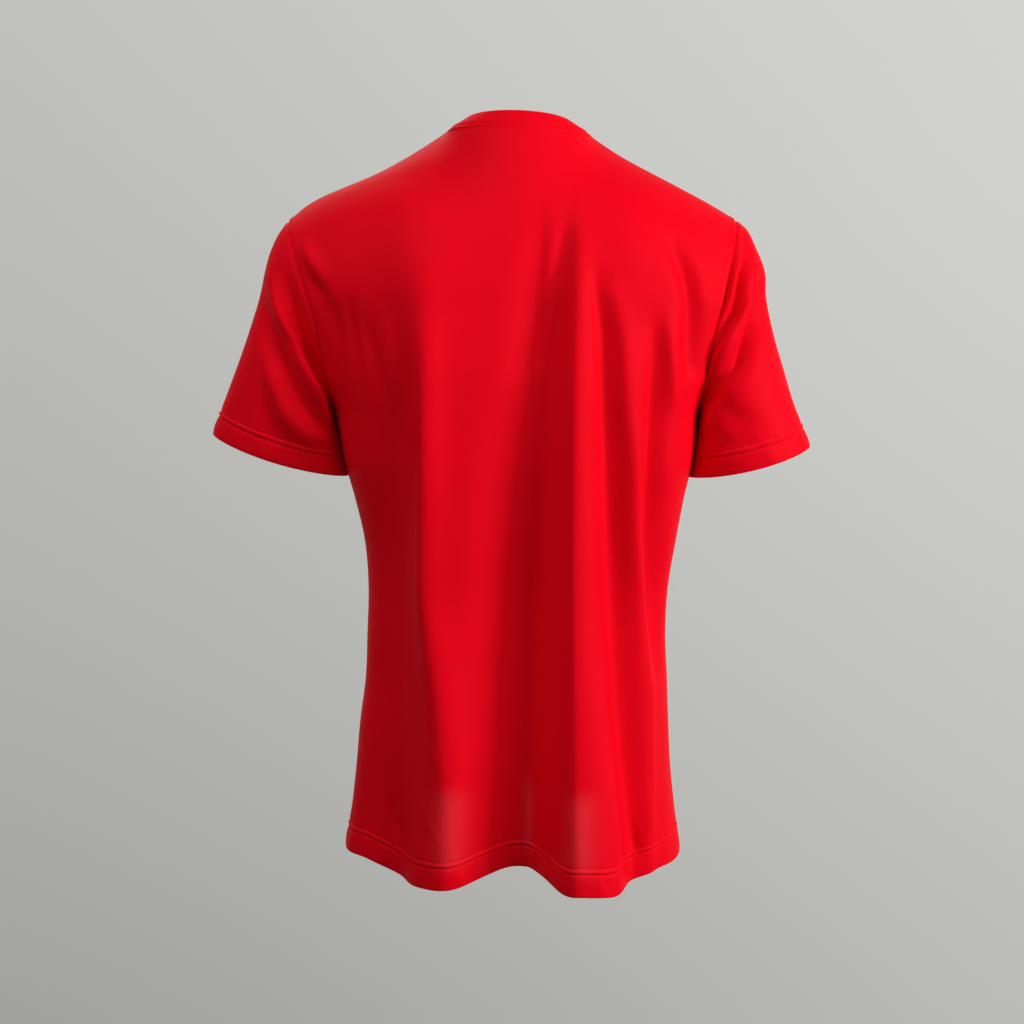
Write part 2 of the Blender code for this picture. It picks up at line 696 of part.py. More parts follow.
def folded(surface, normals, folds_back, folds_front, edges, fade_reach):
    """The surface with its folds raised and sunk along its normals."""
    x, z = surface[..., 0], surface[..., 2]
    facing = normals[..., 1]
    lift = np.zeros(x.shape)
    for folds, turned in ((folds_back, facing), (folds_front, -facing)):
        total = sum((fold_lift(stations, x, z) for stations in folds.values()), np.zeros(x.shape))
        lift += total * smooth(*FOLD_FACING, turned)
    return surface + normals * (lift * edge_fade(surface, edges, fade_reach))[..., None]


def hem_lifted(surface):
    """The back's hem, drawn up where the folds are deepest."""
    x, z = surface[..., 0], surface[..., 2]
    near_hem = 1 - smooth(0, HEM_LIFT_REACH, z - HEM_HEIGHT)
    lifted = surface.copy()
    lifted[..., 2] += read(HEM_LIFT, "lift", x) * near_hem
    return lifted


# ---------------------------------------------------------------- walls


def surface_normals(surface, closed):
    """Unit normals at a grid's points, outward where columns by rows points outward."""
    rows, columns = surface.shape[:2]
    normals = np.zeros_like(surface)
    reach = columns if closed else columns - 1
    for row in range(rows - 1):
        for column in range(reach):
            following = (column + 1) % columns
            corners = ((row, column), (row, following), (row + 1, following), (row + 1, column))
            a, b, c, d = (surface[corner] for corner in corners)
            normal = np.cross(c - a, d - b)
            for corner in corners:
                normals[corner] += normal
    return unit(normals)


def share_normals(surfaces, closed):
    """Normals of every piece, made the same on both sides of each seam."""
    normals = {name: surface_normals(surface, closed[name]) for name, surface in surfaces.items()}
    meeting = {}
    for name, surface in surfaces.items():
        for index in np.ndindex(surface.shape[:2]):
            key = tuple(np.round(surface[index] * 1e6).astype(int))
            meeting.setdefault(key, []).append((name, index))
    for places in meeting.values():
        if len(places) > 1:
            shared = unit(sum(normals[name][index] for name, index in places))
            for name, index in places:
                normals[name][index] = shared
    return normals


def seam_inset(surface, normals, edges, closed):
    """The surface drawn back from its seams by half the seam gap."""
    moved = surface.copy()
    for edge in edges:
        axis = 0 if "row" in edge else 1
        at, inner = (0, 1) if "first" in edge else (-1, -2)
        line, normal = surface.take(at, axis), normals.take(at, axis)
        inward = surface.take(inner, axis) - line
        wrap = np.concatenate([line[-1:], line, line[:1]]) if closed else line
        tangent = np.gradient(wrap, axis=0)
        tangent = unit(tangent[1:-1] if closed else tangent)
        for direction in (tangent, normal):
            inward = inward - direction * np.sum(inward * direction, axis=1, keepdims=True)
        step = unit(inward) * SEAM_GAP / 2
        if axis == 0:
            moved[at] += step
        else:
            moved[:, at] += step
    return moved


def skin(surface, closed, offset, turned):
    """Triangles of one skin of a wall, split along each cell's shorter diagonal."""
    rows, columns = surface.shape[:2]
    points = surface.reshape(-1, 3)
    faces = []
    for row in range(rows - 1):
        for column in range(columns if closed else columns - 1):
            a = row * columns + column
            b = row * columns + (column + 1) % columns
            c, d = b + columns, a + columns
            if np.linalg.norm(points[a] - points[c]) <= np.linalg.norm(points[b] - points[d]):
                split = [(a, b, c), (a, c, d)]
            else:
                split = [(a, b, d), (b, c, d)]
            faces += [tuple(offset + i for i in (face[::-1] if turned else face)) for face in split]
    return faces


def rim(points, outer, inner, closed):
    """Triangles of a wall's edge, between a line of its outer skin and that of its inner one."""
    faces = []
    for i in range(len(outer) if closed else len(outer) - 1):
        j = (i + 1) % len(outer)
        falling = np.linalg.norm(points[outer[i]] - points[inner[j]])
        rising = np.linalg.norm(points[inner[i]] - points[outer[j]])
        if falling <= rising:
            faces += [(outer[i], inner[i], inner[j]), (outer[i], inner[j], outer[j])]
        else:
            faces += [(outer[i], inner[i], outer[j]), (inner[i], inner[j], outer[j])]
    return faces


def cloth_wall(name, surface, normals, thickness, closed, material, collection):
    """One solid piece of cloth: both skins of the surface and the edges between them."""
    rows, columns = surface.shape[:2]
    half = (thickness / 2)[:, None, None] * normals
    points = np.concatenate([(surface + half).reshape(-1, 3), (surface - half).reshape(-1, 3)])
    inner = rows * columns
    index = np.arange(inner).reshape(rows, columns)
    edges = [(index[0], closed), (index[-1][::-1], closed)]
    if not closed:
        edges += [(index[::-1, 0], False), (index[:, -1], False)]
    faces = skin(surface, closed, 0, False) + skin(surface, closed, inner, True)
    for line, looped in edges:
        faces += rim(points, line, line + inner, looped)
    mesh = bpy.data.meshes.new(name)
    mesh.from_pydata(points.tolist(), [], [[int(i) for i in face] for face in faces])
    mesh.shade_smooth()
    mesh.set_sharp_from_angle(angle=radians(SHARP_EDGE))
    mesh.materials.append(material)
    piece = bpy.data.objects.new(name, mesh)
    collection.objects.link(piece)
    return piece


# ---------------------------------------------------------------- the jersey


def knit(name):
    material = bpy.data.materials.new(name)
    material.use_nodes = True
    shader = material.node_tree.nodes["Principled BSDF"]
    shader.inputs["Base Color"].default_value = RED
    shader.inputs["Roughness"].default_value = KNIT_ROUGHNESS
    shader.inputs["Metallic"].default_value = 0.0
    material.diffuse_color = RED
    return material


def middle_surfaces():
    """Every piece's middle surface with no folds, seams still touching."""
    back, front = body_panel(True), body_panel(False)
    left, right = (sleeve(side, armhole(side, back, front)) for side in ("left", "right"))
    return {
        "back_panel": back,
        "front_panel": front[:, ::-1],
        "sleeve_left": left,
        "sleeve_right": right,
        "neck_band": neck_band(),
    }


BODY_SEAMS = ("last_row", "first_column", "last_column")
SEAMS = {
    "back_panel": BODY_SEAMS,
    "front_panel": BODY_SEAMS,
    "sleeve_left": ("first_row",),
    "sleeve_right": ("first_row",),
    "neck_band": ("first_row",),
}
CLOSED = {name: name not in ("back_panel", "front_panel") for name in SEAMS}
FOLDS = {
    "back_panel": (BACK_FOLDS, {}),
    "front_panel": ({}, FRONT_FOLDS),
    "sleeve_left": (SLEEVE_BACK_FOLDS["left"], SLEEVE_FRONT_FOLDS["left"]),
    "sleeve_right": (SLEEVE_BACK_FOLDS["right"], SLEEVE_FRONT_FOLDS["right"]),
    "neck_band": ({}, {}),
}
BAND_ROWS = 3


def thickness_of(name, rows):
    """Thickness of each row: the turned-up hems are doubled cloth, and so is the neck band."""
    if name == "neck_band":
        return np.full(rows, NECK_CLOTH)
    thickness = np.full(rows, CLOTH)
    if name.endswith("panel"):
        thickness[:BAND_ROWS] = HEM_CLOTH
    else:
        thickness[-BAND_ROWS:] = HEM_CLOTH
    return thickness


def clear_scene():
    for old in list(bpy.data.objects):
        bpy.data.objects.remove(old, do_unlink=True)


def build_jersey():
    clear_scene()
    jersey = bpy.data.collections.new("football_jersey")
    bpy.context.scene.collection.children.link(jersey)
    surfaces = middle_surfaces()
    normals = share_normals(surfaces, CLOSED)
    for name, (folds_back, folds_front) in FOLDS.items():
        fade = FOLD_FADE["panel" if name.endswith("panel") else "sleeve"]
        surfaces[name] = folded(
            surfaces[name], normals[name], folds_back, folds_front, SEAMS[name], fade
        )
    surfaces["back_panel"] = hem_lifted(surfaces["back_panel"])
    normals = share_normals(surfaces, CLOSED)
    for name, surface in surfaces.items():
        parted = seam_inset(surface, normals[name], SEAMS[name], CLOSED[name])
        thickness = thickness_of(name, len(surface))
        material = knit(name)
        cloth_wall(name, parted, normals[name], thickness, CLOSED[name], material, jersey)


build_jersey()
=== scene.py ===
"""A plain short-sleeved football jersey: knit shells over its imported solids.

Metres, +Z up, the back faces +Y and the wearer's left is +X. Each panel, sleeve and the neck
band is a thin knit shell on its solid's form, with turned-up hems, creases, seams and stitching.
"""

from math import atan, cos, pi, radians, sin

import bmesh
import bpy
import numpy as np
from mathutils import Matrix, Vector


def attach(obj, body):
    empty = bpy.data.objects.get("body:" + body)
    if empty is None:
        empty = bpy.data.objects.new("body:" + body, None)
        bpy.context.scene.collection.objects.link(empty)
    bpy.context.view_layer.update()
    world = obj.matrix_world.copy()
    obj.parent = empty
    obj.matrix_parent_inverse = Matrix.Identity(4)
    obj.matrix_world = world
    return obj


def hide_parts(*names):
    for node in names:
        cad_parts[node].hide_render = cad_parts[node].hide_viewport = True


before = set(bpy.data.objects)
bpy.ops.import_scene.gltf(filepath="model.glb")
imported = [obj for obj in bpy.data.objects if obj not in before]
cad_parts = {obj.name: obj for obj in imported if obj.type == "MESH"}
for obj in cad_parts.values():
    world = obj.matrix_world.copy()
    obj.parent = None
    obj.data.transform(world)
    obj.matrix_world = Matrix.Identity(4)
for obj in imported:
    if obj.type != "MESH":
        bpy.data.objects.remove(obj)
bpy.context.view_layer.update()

# ---------------------------------------------------------------- sizes of the cut

HEM_HEIGHT = -0.725
UNDERARM_HEIGHT = -0.275
YOKE_HEIGHT = -0.170

NECK_CENTRE = -0.003
NECK_HALF_WIDTH = 0.068
NECK_HEIGHT = -0.0045
NECK_TILT = 0.033
NECK_BACK_REACH = 0.060
NECK_FRONT_REACH = 0.080
NECK_BACK_RISE = 0.001
NECK_FRONT_DROP = 0.084
NECK_BAND_WIDTH = 0.0160
NECK_BACK_BEND = 0.9
NECK_FRONT_BEND = 1.25
NECK_LEAN = {"side": 0.96, "back": 0.62, "front": 0.76}
NECK_LEAN_BEND = 1.3

ARMHOLE_REACH = 0.058
FRONT_ARMHOLE_SCOOP = 0.05
SHOULDER_TIP = {"left": 0.2231, "right": 0.2150}
SHOULDER_TIP_SETBACK = -0.004
SHOULDER_SHARE = 0.32
YOKE_ROUND_FROM = 0.2
YOKE_ROUND_TO = 2.2
YOKE_FALL = 1.6
YOKE_EASE_PASSES = 14
YOKE_EASE = 3.0

# ---------------------------------------------------------------- knit, seams and hems

KNIT = 0.0007
THREAD = 0.00042
# How far a thread's middle lies from the middle of the knit that it is sewn on.
ON_KNIT = KNIT / 2 + THREAD * 0.3
FOLD_RADIUS = 0.0004
HEM_NEEDLES = (0.0212, 0.0268)
CUFF_NEEDLES = (0.0188, 0.0242)
NEEDLE_SINK = 0.0007
TUNNEL_LIFT = 0.0009
BAND_PUFF = 0.0005
HEM_LUMP = 0.0007
HEM_DRAW = 0.0005
# Waves along a hem: length, share of the whole and start.
HEM_WAVES = ((0.0230, 0.40, 0.4), (0.0370, 0.35, 2.1), (0.0143, 0.25, 1.2))
STITCH = 0.0028
STITCH_GAP = 0.0004

SEAM_SINK = 0.0009
SEAM_SINK_SPREAD = 0.0014
ALLOWANCE_LIFT = 0.0005
ALLOWANCE_WIDTH = 0.0060
ALLOWANCE_GAP = 0.0001
NECK_RIDGE_LIFT = 0.0010
NECK_RIDGE_PLACE = 0.0024
NECK_RIDGE_SPREAD = 0.0014
BAND_LIFT = 0.0007
BAND_FOLD = 0.0007

# ---------------------------------------------------------------- grid

SHOULDER_CELLS = 11
BACK_NECK_CELLS = 16
FRONT_NECK_CELLS = 12
COLUMNS_A_CELL = 5
SIDE_CELL = 0.0155
YOKE_LENGTH = 0.125
ROW_STEP = 0.0042
ARMPIT_ROWS = 20
YOKE_ROWS = 34
SLEEVE_ROWS = 34
CURVE_SAMPLES = 480
# Distances from a seam, and from a turned-up hem's edge, where rows or columns lie close.
SEAM_STEPS = np.array([0.0, 0.0007, 0.0015, 0.0025, 0.0038, 0.0053, 0.0070, 0.0092, 0.0120])
HEM_STEPS = np.array([0.0004, 0.003, 0.007, 0.011, 0.015, 0.018])
HEM_CLOSE_STEPS = np.array([-0.0018, -0.0010, -0.0004, 0.0, 0.0004, 0.0010, 0.0018, 0.0028])


def table(columns, rows):
    """A table as named columns; its first column is the place that the others are read at."""
    return dict(zip(columns.split(), np.array(rows, float).T))


# Rings round the body: half widths to the wearer's left and right, and the reach to back and front.
BODY_RINGS = table(
    "height left right back front fullness",
    [
        (-0.725, 0.1755, 0.1690, 0.124, 0.120, 2.05),
        (-0.690, 0.1693, 0.1638, 0.122, 0.118, 2.05),
        (-0.640, 0.1633, 0.1580, 0.119, 0.115, 2.05),
        (-0.590, 0.1585, 0.1551, 0.116, 0.112, 2.08),
        (-0.545, 0.1523, 0.1531, 0.113, 0.110, 2.10),
        (-0.498, 0.1500, 0.1508, 0.111, 0.108, 2.12),
        (-0.451, 0.1483, 0.1530, 0.109, 0.107, 2.15),
        (-0.405, 0.1513, 0.1600, 0.110, 0.109, 2.20),
        (-0.360, 0.1608, 0.1678, 0.112, 0.112, 2.25),
        (-0.325, 0.1700, 0.1752, 0.114, 0.114, 2.28),
        (-0.300, 0.1742, 0.1775, 0.115, 0.115, 2.30),
        (-0.275, 0.1785, 0.1795, 0.116, 0.115, 2.30),
        (-0.237, 0.1930, 0.1925, 0.116, 0.115, 2.30),
        (-0.170, 0.2184, 0.2190, 0.112, 0.110, 2.30),
    ],
)

# The shoulder seam's drop below the neck point (0) as it runs to the shoulder tip (1).
SHOULDER_SEAM = table(
    "share left right",
    [
        (0.00, 0.0000, 0.0000),
        (0.20, 0.0200, 0.0190),
        (0.45, 0.0420, 0.0385),
        (0.70, 0.0580, 0.0572),
        (0.90, 0.0730, 0.0725),
        (1.00, 0.0870, 0.0815),
    ],
)

# A sleeve from the armhole (0) to its hem (1): its outer fold, underarm line and half depth.
SLEEVE_RINGS = {
    "left": table(
        "share outer_x outer_z inner_x inner_z depth",
        [
            (0.00, 0.2231, -0.0900, 0.1785, -0.2750, 0.0580),
            (0.06, 0.2312, -0.0995, 0.1808, -0.2762, 0.0590),
            (0.15, 0.2405, -0.1177, 0.1797, -0.2810, 0.0600),
            (0.24, 0.2460, -0.1361, 0.1785, -0.2870, 0.0608),
            (0.34, 0.2515, -0.1595, 0.1770, -0.2935, 0.0610),
            (0.50, 0.2622, -0.1928, 0.1745, -0.3045, 0.0590),
            (0.65, 0.2738, -0.2244, 0.1725, -0.3150, 0.0560),
            (0.80, 0.2860, -0.2550, 0.1707, -0.3255, 0.0525),
            (1.00, 0.3022, -0.2972, 0.1680, -0.3390, 0.0490),
        ],
    ),
    "right": table(
        "share outer_x outer_z inner_x inner_z depth",
        [
            (0.00, 0.2150, -0.0890, 0.1795, -0.2750, 0.0580),
            (0.06, 0.2252, -0.0965, 0.1818, -0.2762, 0.0590),
            (0.15, 0.2350, -0.1150, 0.1813, -0.2810, 0.0600),
            (0.24, 0.2438, -0.1361, 0.1807, -0.2870, 0.0608),
            (0.34, 0.2455, -0.1600, 0.1795, -0.2935, 0.0610),
            (0.50, 0.2535, -0.1970, 0.1778, -0.3045, 0.0590),
            (0.65, 0.2645, -0.2320, 0.1768, -0.3150, 0.0560),
            (0.80, 0.2758, -0.2665, 0.1755, -0.3255, 0.0525),
            (1.00, 0.2936, -0.3092, 0.1732, -0.3405, 0.0490),
        ],
    ),
}
SLEEVE_LENGTH = {"outer": 0.228, "inner": 0.075}
SLEEVE_HEM_DIP = 0.0045
# How fast a sleeve leaves the armhole's form for its own rings, and how its rows close up to it.
SLEEVE_RELEASE = 2.5
SLEEVE_ROW_BEND = 1.15

# Folds. Each runs along its stations: place across, height, spread to the left and right, lift.
FOLD_COLUMNS = "x z left right lift"
BACK_FOLDS = {
    "centre_valley": [
        (-0.0490, -0.095, 0.008, 0.006, -0.001),
        (-0.0465, -0.118, 0.010, 0.007, -0.005),
        (-0.0420, -0.150, 0.014, 0.009, -0.008),
        (-0.0360, -0.190, 0.021, 0.010, -0.011),
        (-0.0300, -0.225, 0.028, 0.012, -0.014),
        (-0.0250, -0.262, 0.034, 0.014, -0.017),
        (-0.0200, -0.310, 0.039, 0.016, -0.020),
        (-0.0160, -0.400, 0.043, 0.018, -0.028),
        (-0.0135, -0.500, 0.048, 0.019, -0.035),
        (-0.0125, -0.620, 0.054, 0.020, -0.042),
        (-0.0130, -0.725, 0.058, 0.020, -0.049),
    ],
    "upper_valley": [
        (-0.0240, -0.092, 0.014, 0.007, -0.001),
        (-0.0215, -0.132, 0.018, 0.008, -0.005),
        (-0.0180, -0.170, 0.022, 0.009, -0.007),
        (-0.0160, -0.215, 0.024, 0.010, -0.004),
    ],
    "valley_floor": [
        (0.0110, -0.430, 0.020, 0.020, -0.001),
        (0.0120, -0.600, 0.020, 0.022, -0.003),
        (0.0130, -0.725, 0.020, 0.022, -0.006),
    ],
    "right_lobe": [
        (-0.0540, -0.090, 0.008, 0.020, 0.001),
        (-0.0540, -0.130, 0.008, 0.018, 0.005),
        (-0.0530, -0.200, 0.008, 0.019, 0.009),
        (-0.0515, -0.300, 0.009, 0.022, 0.013),
        (-0.0505, -0.400, 0.010, 0.027, 0.016),
        (-0.0510, -0.500, 0.011, 0.034, 0.018),
        (-0.0520, -0.600, 0.012, 0.040, 0.018),
        (-0.0530, -0.725, 0.014, 0.044, 0.019),
    ],
    "lobe_shoulder": [
        (-0.0780, -0.480, 0.018, 0.016, 0.000),
        (-0.0800, -0.560, 0.020, 0.014, 0.003),
        (-0.0830, -0.640, 0.022, 0.015, 0.006),
        (-0.0860, -0.725, 0.024, 0.016, 0.009),
    ],
    "second_valley": [
        (-0.0700, -0.140, 0.006, 0.008, -0.001),
        (-0.0735, -0.168, 0.008, 0.010, -0.005),
        (-0.0800, -0.204, 0.009, 0.011, -0.007),
        (-0.0825, -0.259, 0.010, 0.012, -0.008),
        (-0.0865, -0.352, 0.012, 0.015, -0.011),
        (-0.0930, -0.446, 0.014, 0.018, -0.014),
        (-0.1000, -0.542, 0.015, 0.019, -0.016),
        (-0.1110, -0.640, 0.016, 0.018, -0.015),
        (-0.1200, -0.725, 0.017, 0.016, -0.011),
    ],
    "second_ridge": [
        (-0.0870, -0.160, 0.008, 0.012, 0.001),
        (-0.0970, -0.204, 0.009, 0.015, 0.005),
        (-0.1010, -0.259, 0.010, 0.015, 0.007),
        (-0.1090, -0.320, 0.010, 0.012, 0.006),
        (-0.1120, -0.385, 0.011, 0.011, 0.006),
        (-0.1200, -0.446, 0.012, 0.010, 0.006),
        (-0.1260, -0.542, 0.012, 0.009, 0.006),
        (-0.1295, -0.640, 0.010, 0.008, 0.006),
        (-0.1310, -0.725, 0.010, 0.007, 0.006),
    ],
    "third_valley": [
        (-0.1240, -0.185, 0.007, 0.008, -0.001),
        (-0.1275, -0.215, 0.007, 0.009, -0.004),
        (-0.1275, -0.300, 0.007, 0.011, -0.011),
        (-0.1290, -0.390, 0.008, 0.013, -0.014),
        (-0.1330, -0.460, 0.008, 0.013, -0.012),
        (-0.1400, -0.530, 0.008, 0.009, -0.003),
    ],
    "third_ridge": [
        (-0.1390, -0.172, 0.006, 0.008, 0.000),
        (-0.1415, -0.200, 0.006, 0.009, 0.004),
        (-0.1450, -0.240, 0.006, 0.009, 0.005),
        (-0.1490, -0.285, 0.008, 0.009, 0.001),
    ],
    "left_lobe": [
        (0.0850, -0.120, 0.026, 0.020, 0.000),
        (0.0835, -0.168, 0.020, 0.017, 0.003),
        (0.0820, -0.220, 0.014, 0.015, 0.008),
        (0.0815, -0.305, 0.011, 0.015, 0.010),
        (0.0820, -0.400, 0.012, 0.015, 0.010),
        (0.0835, -0.440, 0.013, 0.016, 0.010),
        (0.0780, -0.495, 0.016, 0.017, 0.009),
        (0.0715, -0.545, 0.018, 0.018, 0.009),
        (0.0665, -0.620, 0.021, 0.019, 0.008),
        (0.0650, -0.725, 0.024, 0.020, 0.007),
    ],
    "left_swell": [
        (0.0830, -0.120, 0.032, 0.040, 0.001),
        (0.0815, -0.170, 0.026, 0.040, 0.004),
        (0.0805, -0.215, 0.018, 0.040, 0.008),
        (0.0800, -0.305, 0.013, 0.040, 0.012),
        (0.0800, -0.430, 0.014, 0.039, 0.011),
        (0.0720, -0.540, 0.018, 0.036, 0.007),
        (0.0660, -0.640, 0.022, 0.034, 0.004),
        (0.0650, -0.725, 0.026, 0.032, 0.003),
    ],
    "left_yoke": [
        (0.0950, -0.055, 0.040, 0.050, 0.002),
        (0.0950, -0.090, 0.040, 0.050, 0.007),
        (0.0900, -0.140, 0.035, 0.050, 0.008),
        (0.0850, -0.200, 0.030, 0.045, 0.005),
        (0.0830, -0.260, 0.030, 0.040, 0.001),
    ],
    "right_yoke": [
        (-0.0950, -0.050, 0.045, 0.040, 0.002),
        (-0.0980, -0.080, 0.045, 0.040, 0.006),
        (-0.1000, -0.115, 0.040, 0.040, 0.005),
        (-0.1000, -0.150, 0.035, 0.035, 0.001),
    ],
    "left_flank_valley": [
        (0.1180, -0.220, 0.020, 0.014, 0.000),
        (0.1180, -0.320, 0.022, 0.016, -0.006),
        (0.1200, -0.450, 0.024, 0.020, -0.009),
        (0.1280, -0.600, 0.026, 0.028, -0.016),
        (0.1380, -0.725, 0.028, 0.030, -0.030),
    ],
    "left_streak": [
        (0.1210, -0.170, 0.008, 0.007, 0.000),
        (0.1170, -0.205, 0.008, 0.007, 0.002),
        (0.1150, -0.245, 0.008, 0.007, 0.002),
        (0.1130, -0.290, 0.008, 0.008, 0.000),
    ],
    "left_wedge_outer": [
        (0.1580, -0.155, 0.006, 0.006, 0.000),
        (0.1550, -0.180, 0.007, 0.006, -0.003),
        (0.1500, -0.215, 0.008, 0.007, -0.003),
        (0.1450, -0.260, 0.009, 0.008, 0.000),
    ],
    "left_wedge_inner": [
        (0.1440, -0.175, 0.006, 0.006, 0.000),
        (0.1370, -0.200, 0.007, 0.006, -0.003),
        (0.1300, -0.225, 0.008, 0.006, -0.003),
        (0.1270, -0.262, 0.009, 0.007, 0.000),
    ],
    "blade_drape": [
        (-0.1390, -0.108, 0.008, 0.009, -0.001),
        (-0.1500, -0.128, 0.008, 0.008, -0.006),
        (-0.1600, -0.150, 0.008, 0.008, -0.009),
        (-0.1650, -0.185, 0.009, 0.009, -0.009),
        (-0.1650, -0.230, 0.010, 0.009, -0.006),
    ],
    "armhole_drag_upper": [
        (0.2060, -0.110, 0.007, 0.007, 0.001),
        (0.1940, -0.128, 0.008, 0.008, 0.006),
        (0.1780, -0.155, 0.009, 0.009, 0.001),
    ],
    "armhole_drag_lower": [
        (0.2000, -0.142, 0.008, 0.008, -0.001),
        (0.1840, -0.162, 0.008, 0.008, -0.004),
        (0.1660, -0.205, 0.010, 0.010, -0.003),
        (0.1560, -0.280, 0.012, 0.012, 0.000),
    ],
}
FRONT_FOLDS = {
    "chest_left": [
        (0.085, -0.200, 0.030, 0.030, 0.001),
        (0.088, -0.350, 0.028, 0.030, 0.007),
        (0.082, -0.550, 0.028, 0.032, 0.011),
        (0.070, -0.725, 0.030, 0.032, 0.014),
    ],
    "chest_right": [
        (-0.090, -0.190, 0.030, 0.030, 0.001),
        (-0.092, -0.330, 0.030, 0.028, 0.007),
        (-0.096, -0.520, 0.030, 0.028, 0.010),
        (-0.098, -0.725, 0.032, 0.030, 0.012),
    ],
    "front_valley": [
        (0.004, -0.260, 0.030, 0.026, -0.001),
        (-0.002, -0.400, 0.032, 0.028, -0.008),
        (-0.008, -0.560, 0.034, 0.026, -0.015),
        (-0.014, -0.725, 0.036, 0.026, -0.024),
    ],
    "drag_left": [
        (0.172, -0.160, 0.009, 0.009, -0.001),
        (0.150, -0.215, 0.011, 0.011, -0.005),
        (0.120, -0.280, 0.012, 0.012, -0.001),
    ],
    "drag_right": [
        (-0.172, -0.165, 0.009, 0.009, -0.001),
        (-0.152, -0.225, 0.011, 0.011, -0.005),
        (-0.128, -0.295, 0.012, 0.012, -0.001),
    ],
}
SLEEVE_BACK_FOLDS = {
    "left": {
        "seam_valley": [
            (0.2220, -0.140, 0.009, 0.008, -0.002),
            (0.2130, -0.172, 0.009, 0.008, -0.011),
            (0.2005, -0.208, 0.008, 0.008, -0.019),
            (0.1895, -0.236, 0.007, 0.008, -0.018),
            (0.1800, -0.262, 0.007, 0.007, -0.008),
        ],
        "upper_ridge": [
            (0.2390, -0.138, 0.006, 0.007, 0.001),
            (0.2290, -0.168, 0.006, 0.007, 0.004),
            (0.2180, -0.188, 0.006, 0.007, 0.007),
            (0.2060, -0.208, 0.006, 0.005, 0.011),
            (0.2000, -0.229, 0.006, 0.005, 0.014),
            (0.1950, -0.248, 0.006, 0.005, 0.014),
            (0.1890, -0.266, 0.007, 0.006, 0.010),
            (0.1850, -0.284, 0.007, 0.006, 0.004),
        ],
        "middle_valley": [
            (0.2490, -0.156, 0.009, 0.009, -0.002),
            (0.2380, -0.196, 0.010, 0.009, -0.007),
            (0.2225, -0.234, 0.010, 0.009, -0.009),
            (0.2070, -0.266, 0.009, 0.008, -0.008),
            (0.1930, -0.286, 0.008, 0.007, -0.003),
        ],
        "lower_ridge": [
            (0.2360, -0.222, 0.010, 0.010, 0.001),
            (0.2270, -0.250, 0.012, 0.011, 0.006),
            (0.2160, -0.276, 0.013, 0.011, 0.008),
            (0.2020, -0.294, 0.013, 0.009, 0.006),
            (0.1890, -0.300, 0.010, 0.008, 0.002),
        ],
        "outer_valley": [
            (0.2460, -0.232, 0.008, 0.009, -0.001),
            (0.2400, -0.266, 0.009, 0.009, -0.003),
            (0.2340, -0.298, 0.009, 0.009, -0.002),
        ],
    },
    "right": {
        "seam_ridge": [
            (-0.2190, -0.108, 0.006, 0.006, 0.001),
            (-0.2110, -0.134, 0.006, 0.006, 0.008),
            (-0.1995, -0.172, 0.006, 0.006, 0.009),
            (-0.1900, -0.200, 0.006, 0.006, 0.002),
        ],
        "fan_valley": [
            (-0.2200, -0.108, 0.006, 0.006, -0.003),
            (-0.2165, -0.136, 0.006, 0.007, -0.013),
            (-0.2110, -0.160, 0.006, 0.007, -0.013),
            (-0.2020, -0.181, 0.006, 0.007, -0.012),
            (-0.1900, -0.203, 0.006, 0.007, -0.007),
        ],
        "long_valley": [
            (-0.2400, -0.142, 0.006, 0.007, -0.003),
            (-0.2345, -0.166, 0.007, 0.009, -0.012),
            (-0.2285, -0.190, 0.008, 0.010, -0.017),
            (-0.2190, -0.212, 0.009, 0.010, -0.017),
            (-0.2070, -0.231, 0.009, 0.010, -0.011),
            (-0.1930, -0.247, 0.008, 0.009, -0.004),
        ],
        "oval_ridge": [
            (-0.2060, -0.190, 0.006, 0.008, 0.003),
            (-0.1990, -0.210, 0.007, 0.009, 0.007),
            (-0.1890, -0.232, 0.007, 0.009, 0.005),
        ],
        "lower_valley": [
            (-0.1830, -0.260, 0.008, 0.008, -0.006),
            (-0.1970, -0.266, 0.009, 0.009, -0.003),
            (-0.2140, -0.281, 0.012, 0.009, -0.003),
            (-0.2300, -0.288, 0.012, 0.010, -0.001),
        ],
        "cuff_valley": [
            (-0.1850, -0.297, 0.008, 0.007, -0.002),
            (-0.2050, -0.303, 0.009, 0.007, -0.001),
            (-0.2300, -0.302, 0.010, 0.007, -0.001),
        ],
    },
}
SLEEVE_FRONT_FOLDS = {
    "left": {
        "front_valley": [
            (0.2430, -0.150, 0.010, 0.010, -0.001),
            (0.2230, -0.196, 0.011, 0.011, -0.006),
            (0.2010, -0.250, 0.010, 0.010, -0.003),
        ],
        "front_ridge": [
            (0.2560, -0.190, 0.012, 0.012, 0.001),
            (0.2350, -0.240, 0.012, 0.012, 0.005),
            (0.2110, -0.292, 0.012, 0.012, 0.003),
        ],
    },
    "right": {
        "front_valley": [
            (-0.2360, -0.145, 0.010, 0.010, -0.001),
            (-0.2190, -0.192, 0.011, 0.011, -0.006),
            (-0.2000, -0.246, 0.010, 0.010, -0.003),
        ],
        "front_ridge": [
            (-0.2490, -0.196, 0.012, 0.012, 0.001),
            (-0.2320, -0.244, 0.012, 0.012, 0.005),
            (-0.2090, -0.296, 0.012, 0.012, 0.003),
        ],
    },
}
FOLD_SAMPLES = 24
FOLD_FADE = {"panel": 0.018, "sleeve": 0.009}
# Folds reach full lift where a surface's normal turns this far towards the back or the front.
FOLD_FACING = (0.05, 0.65)

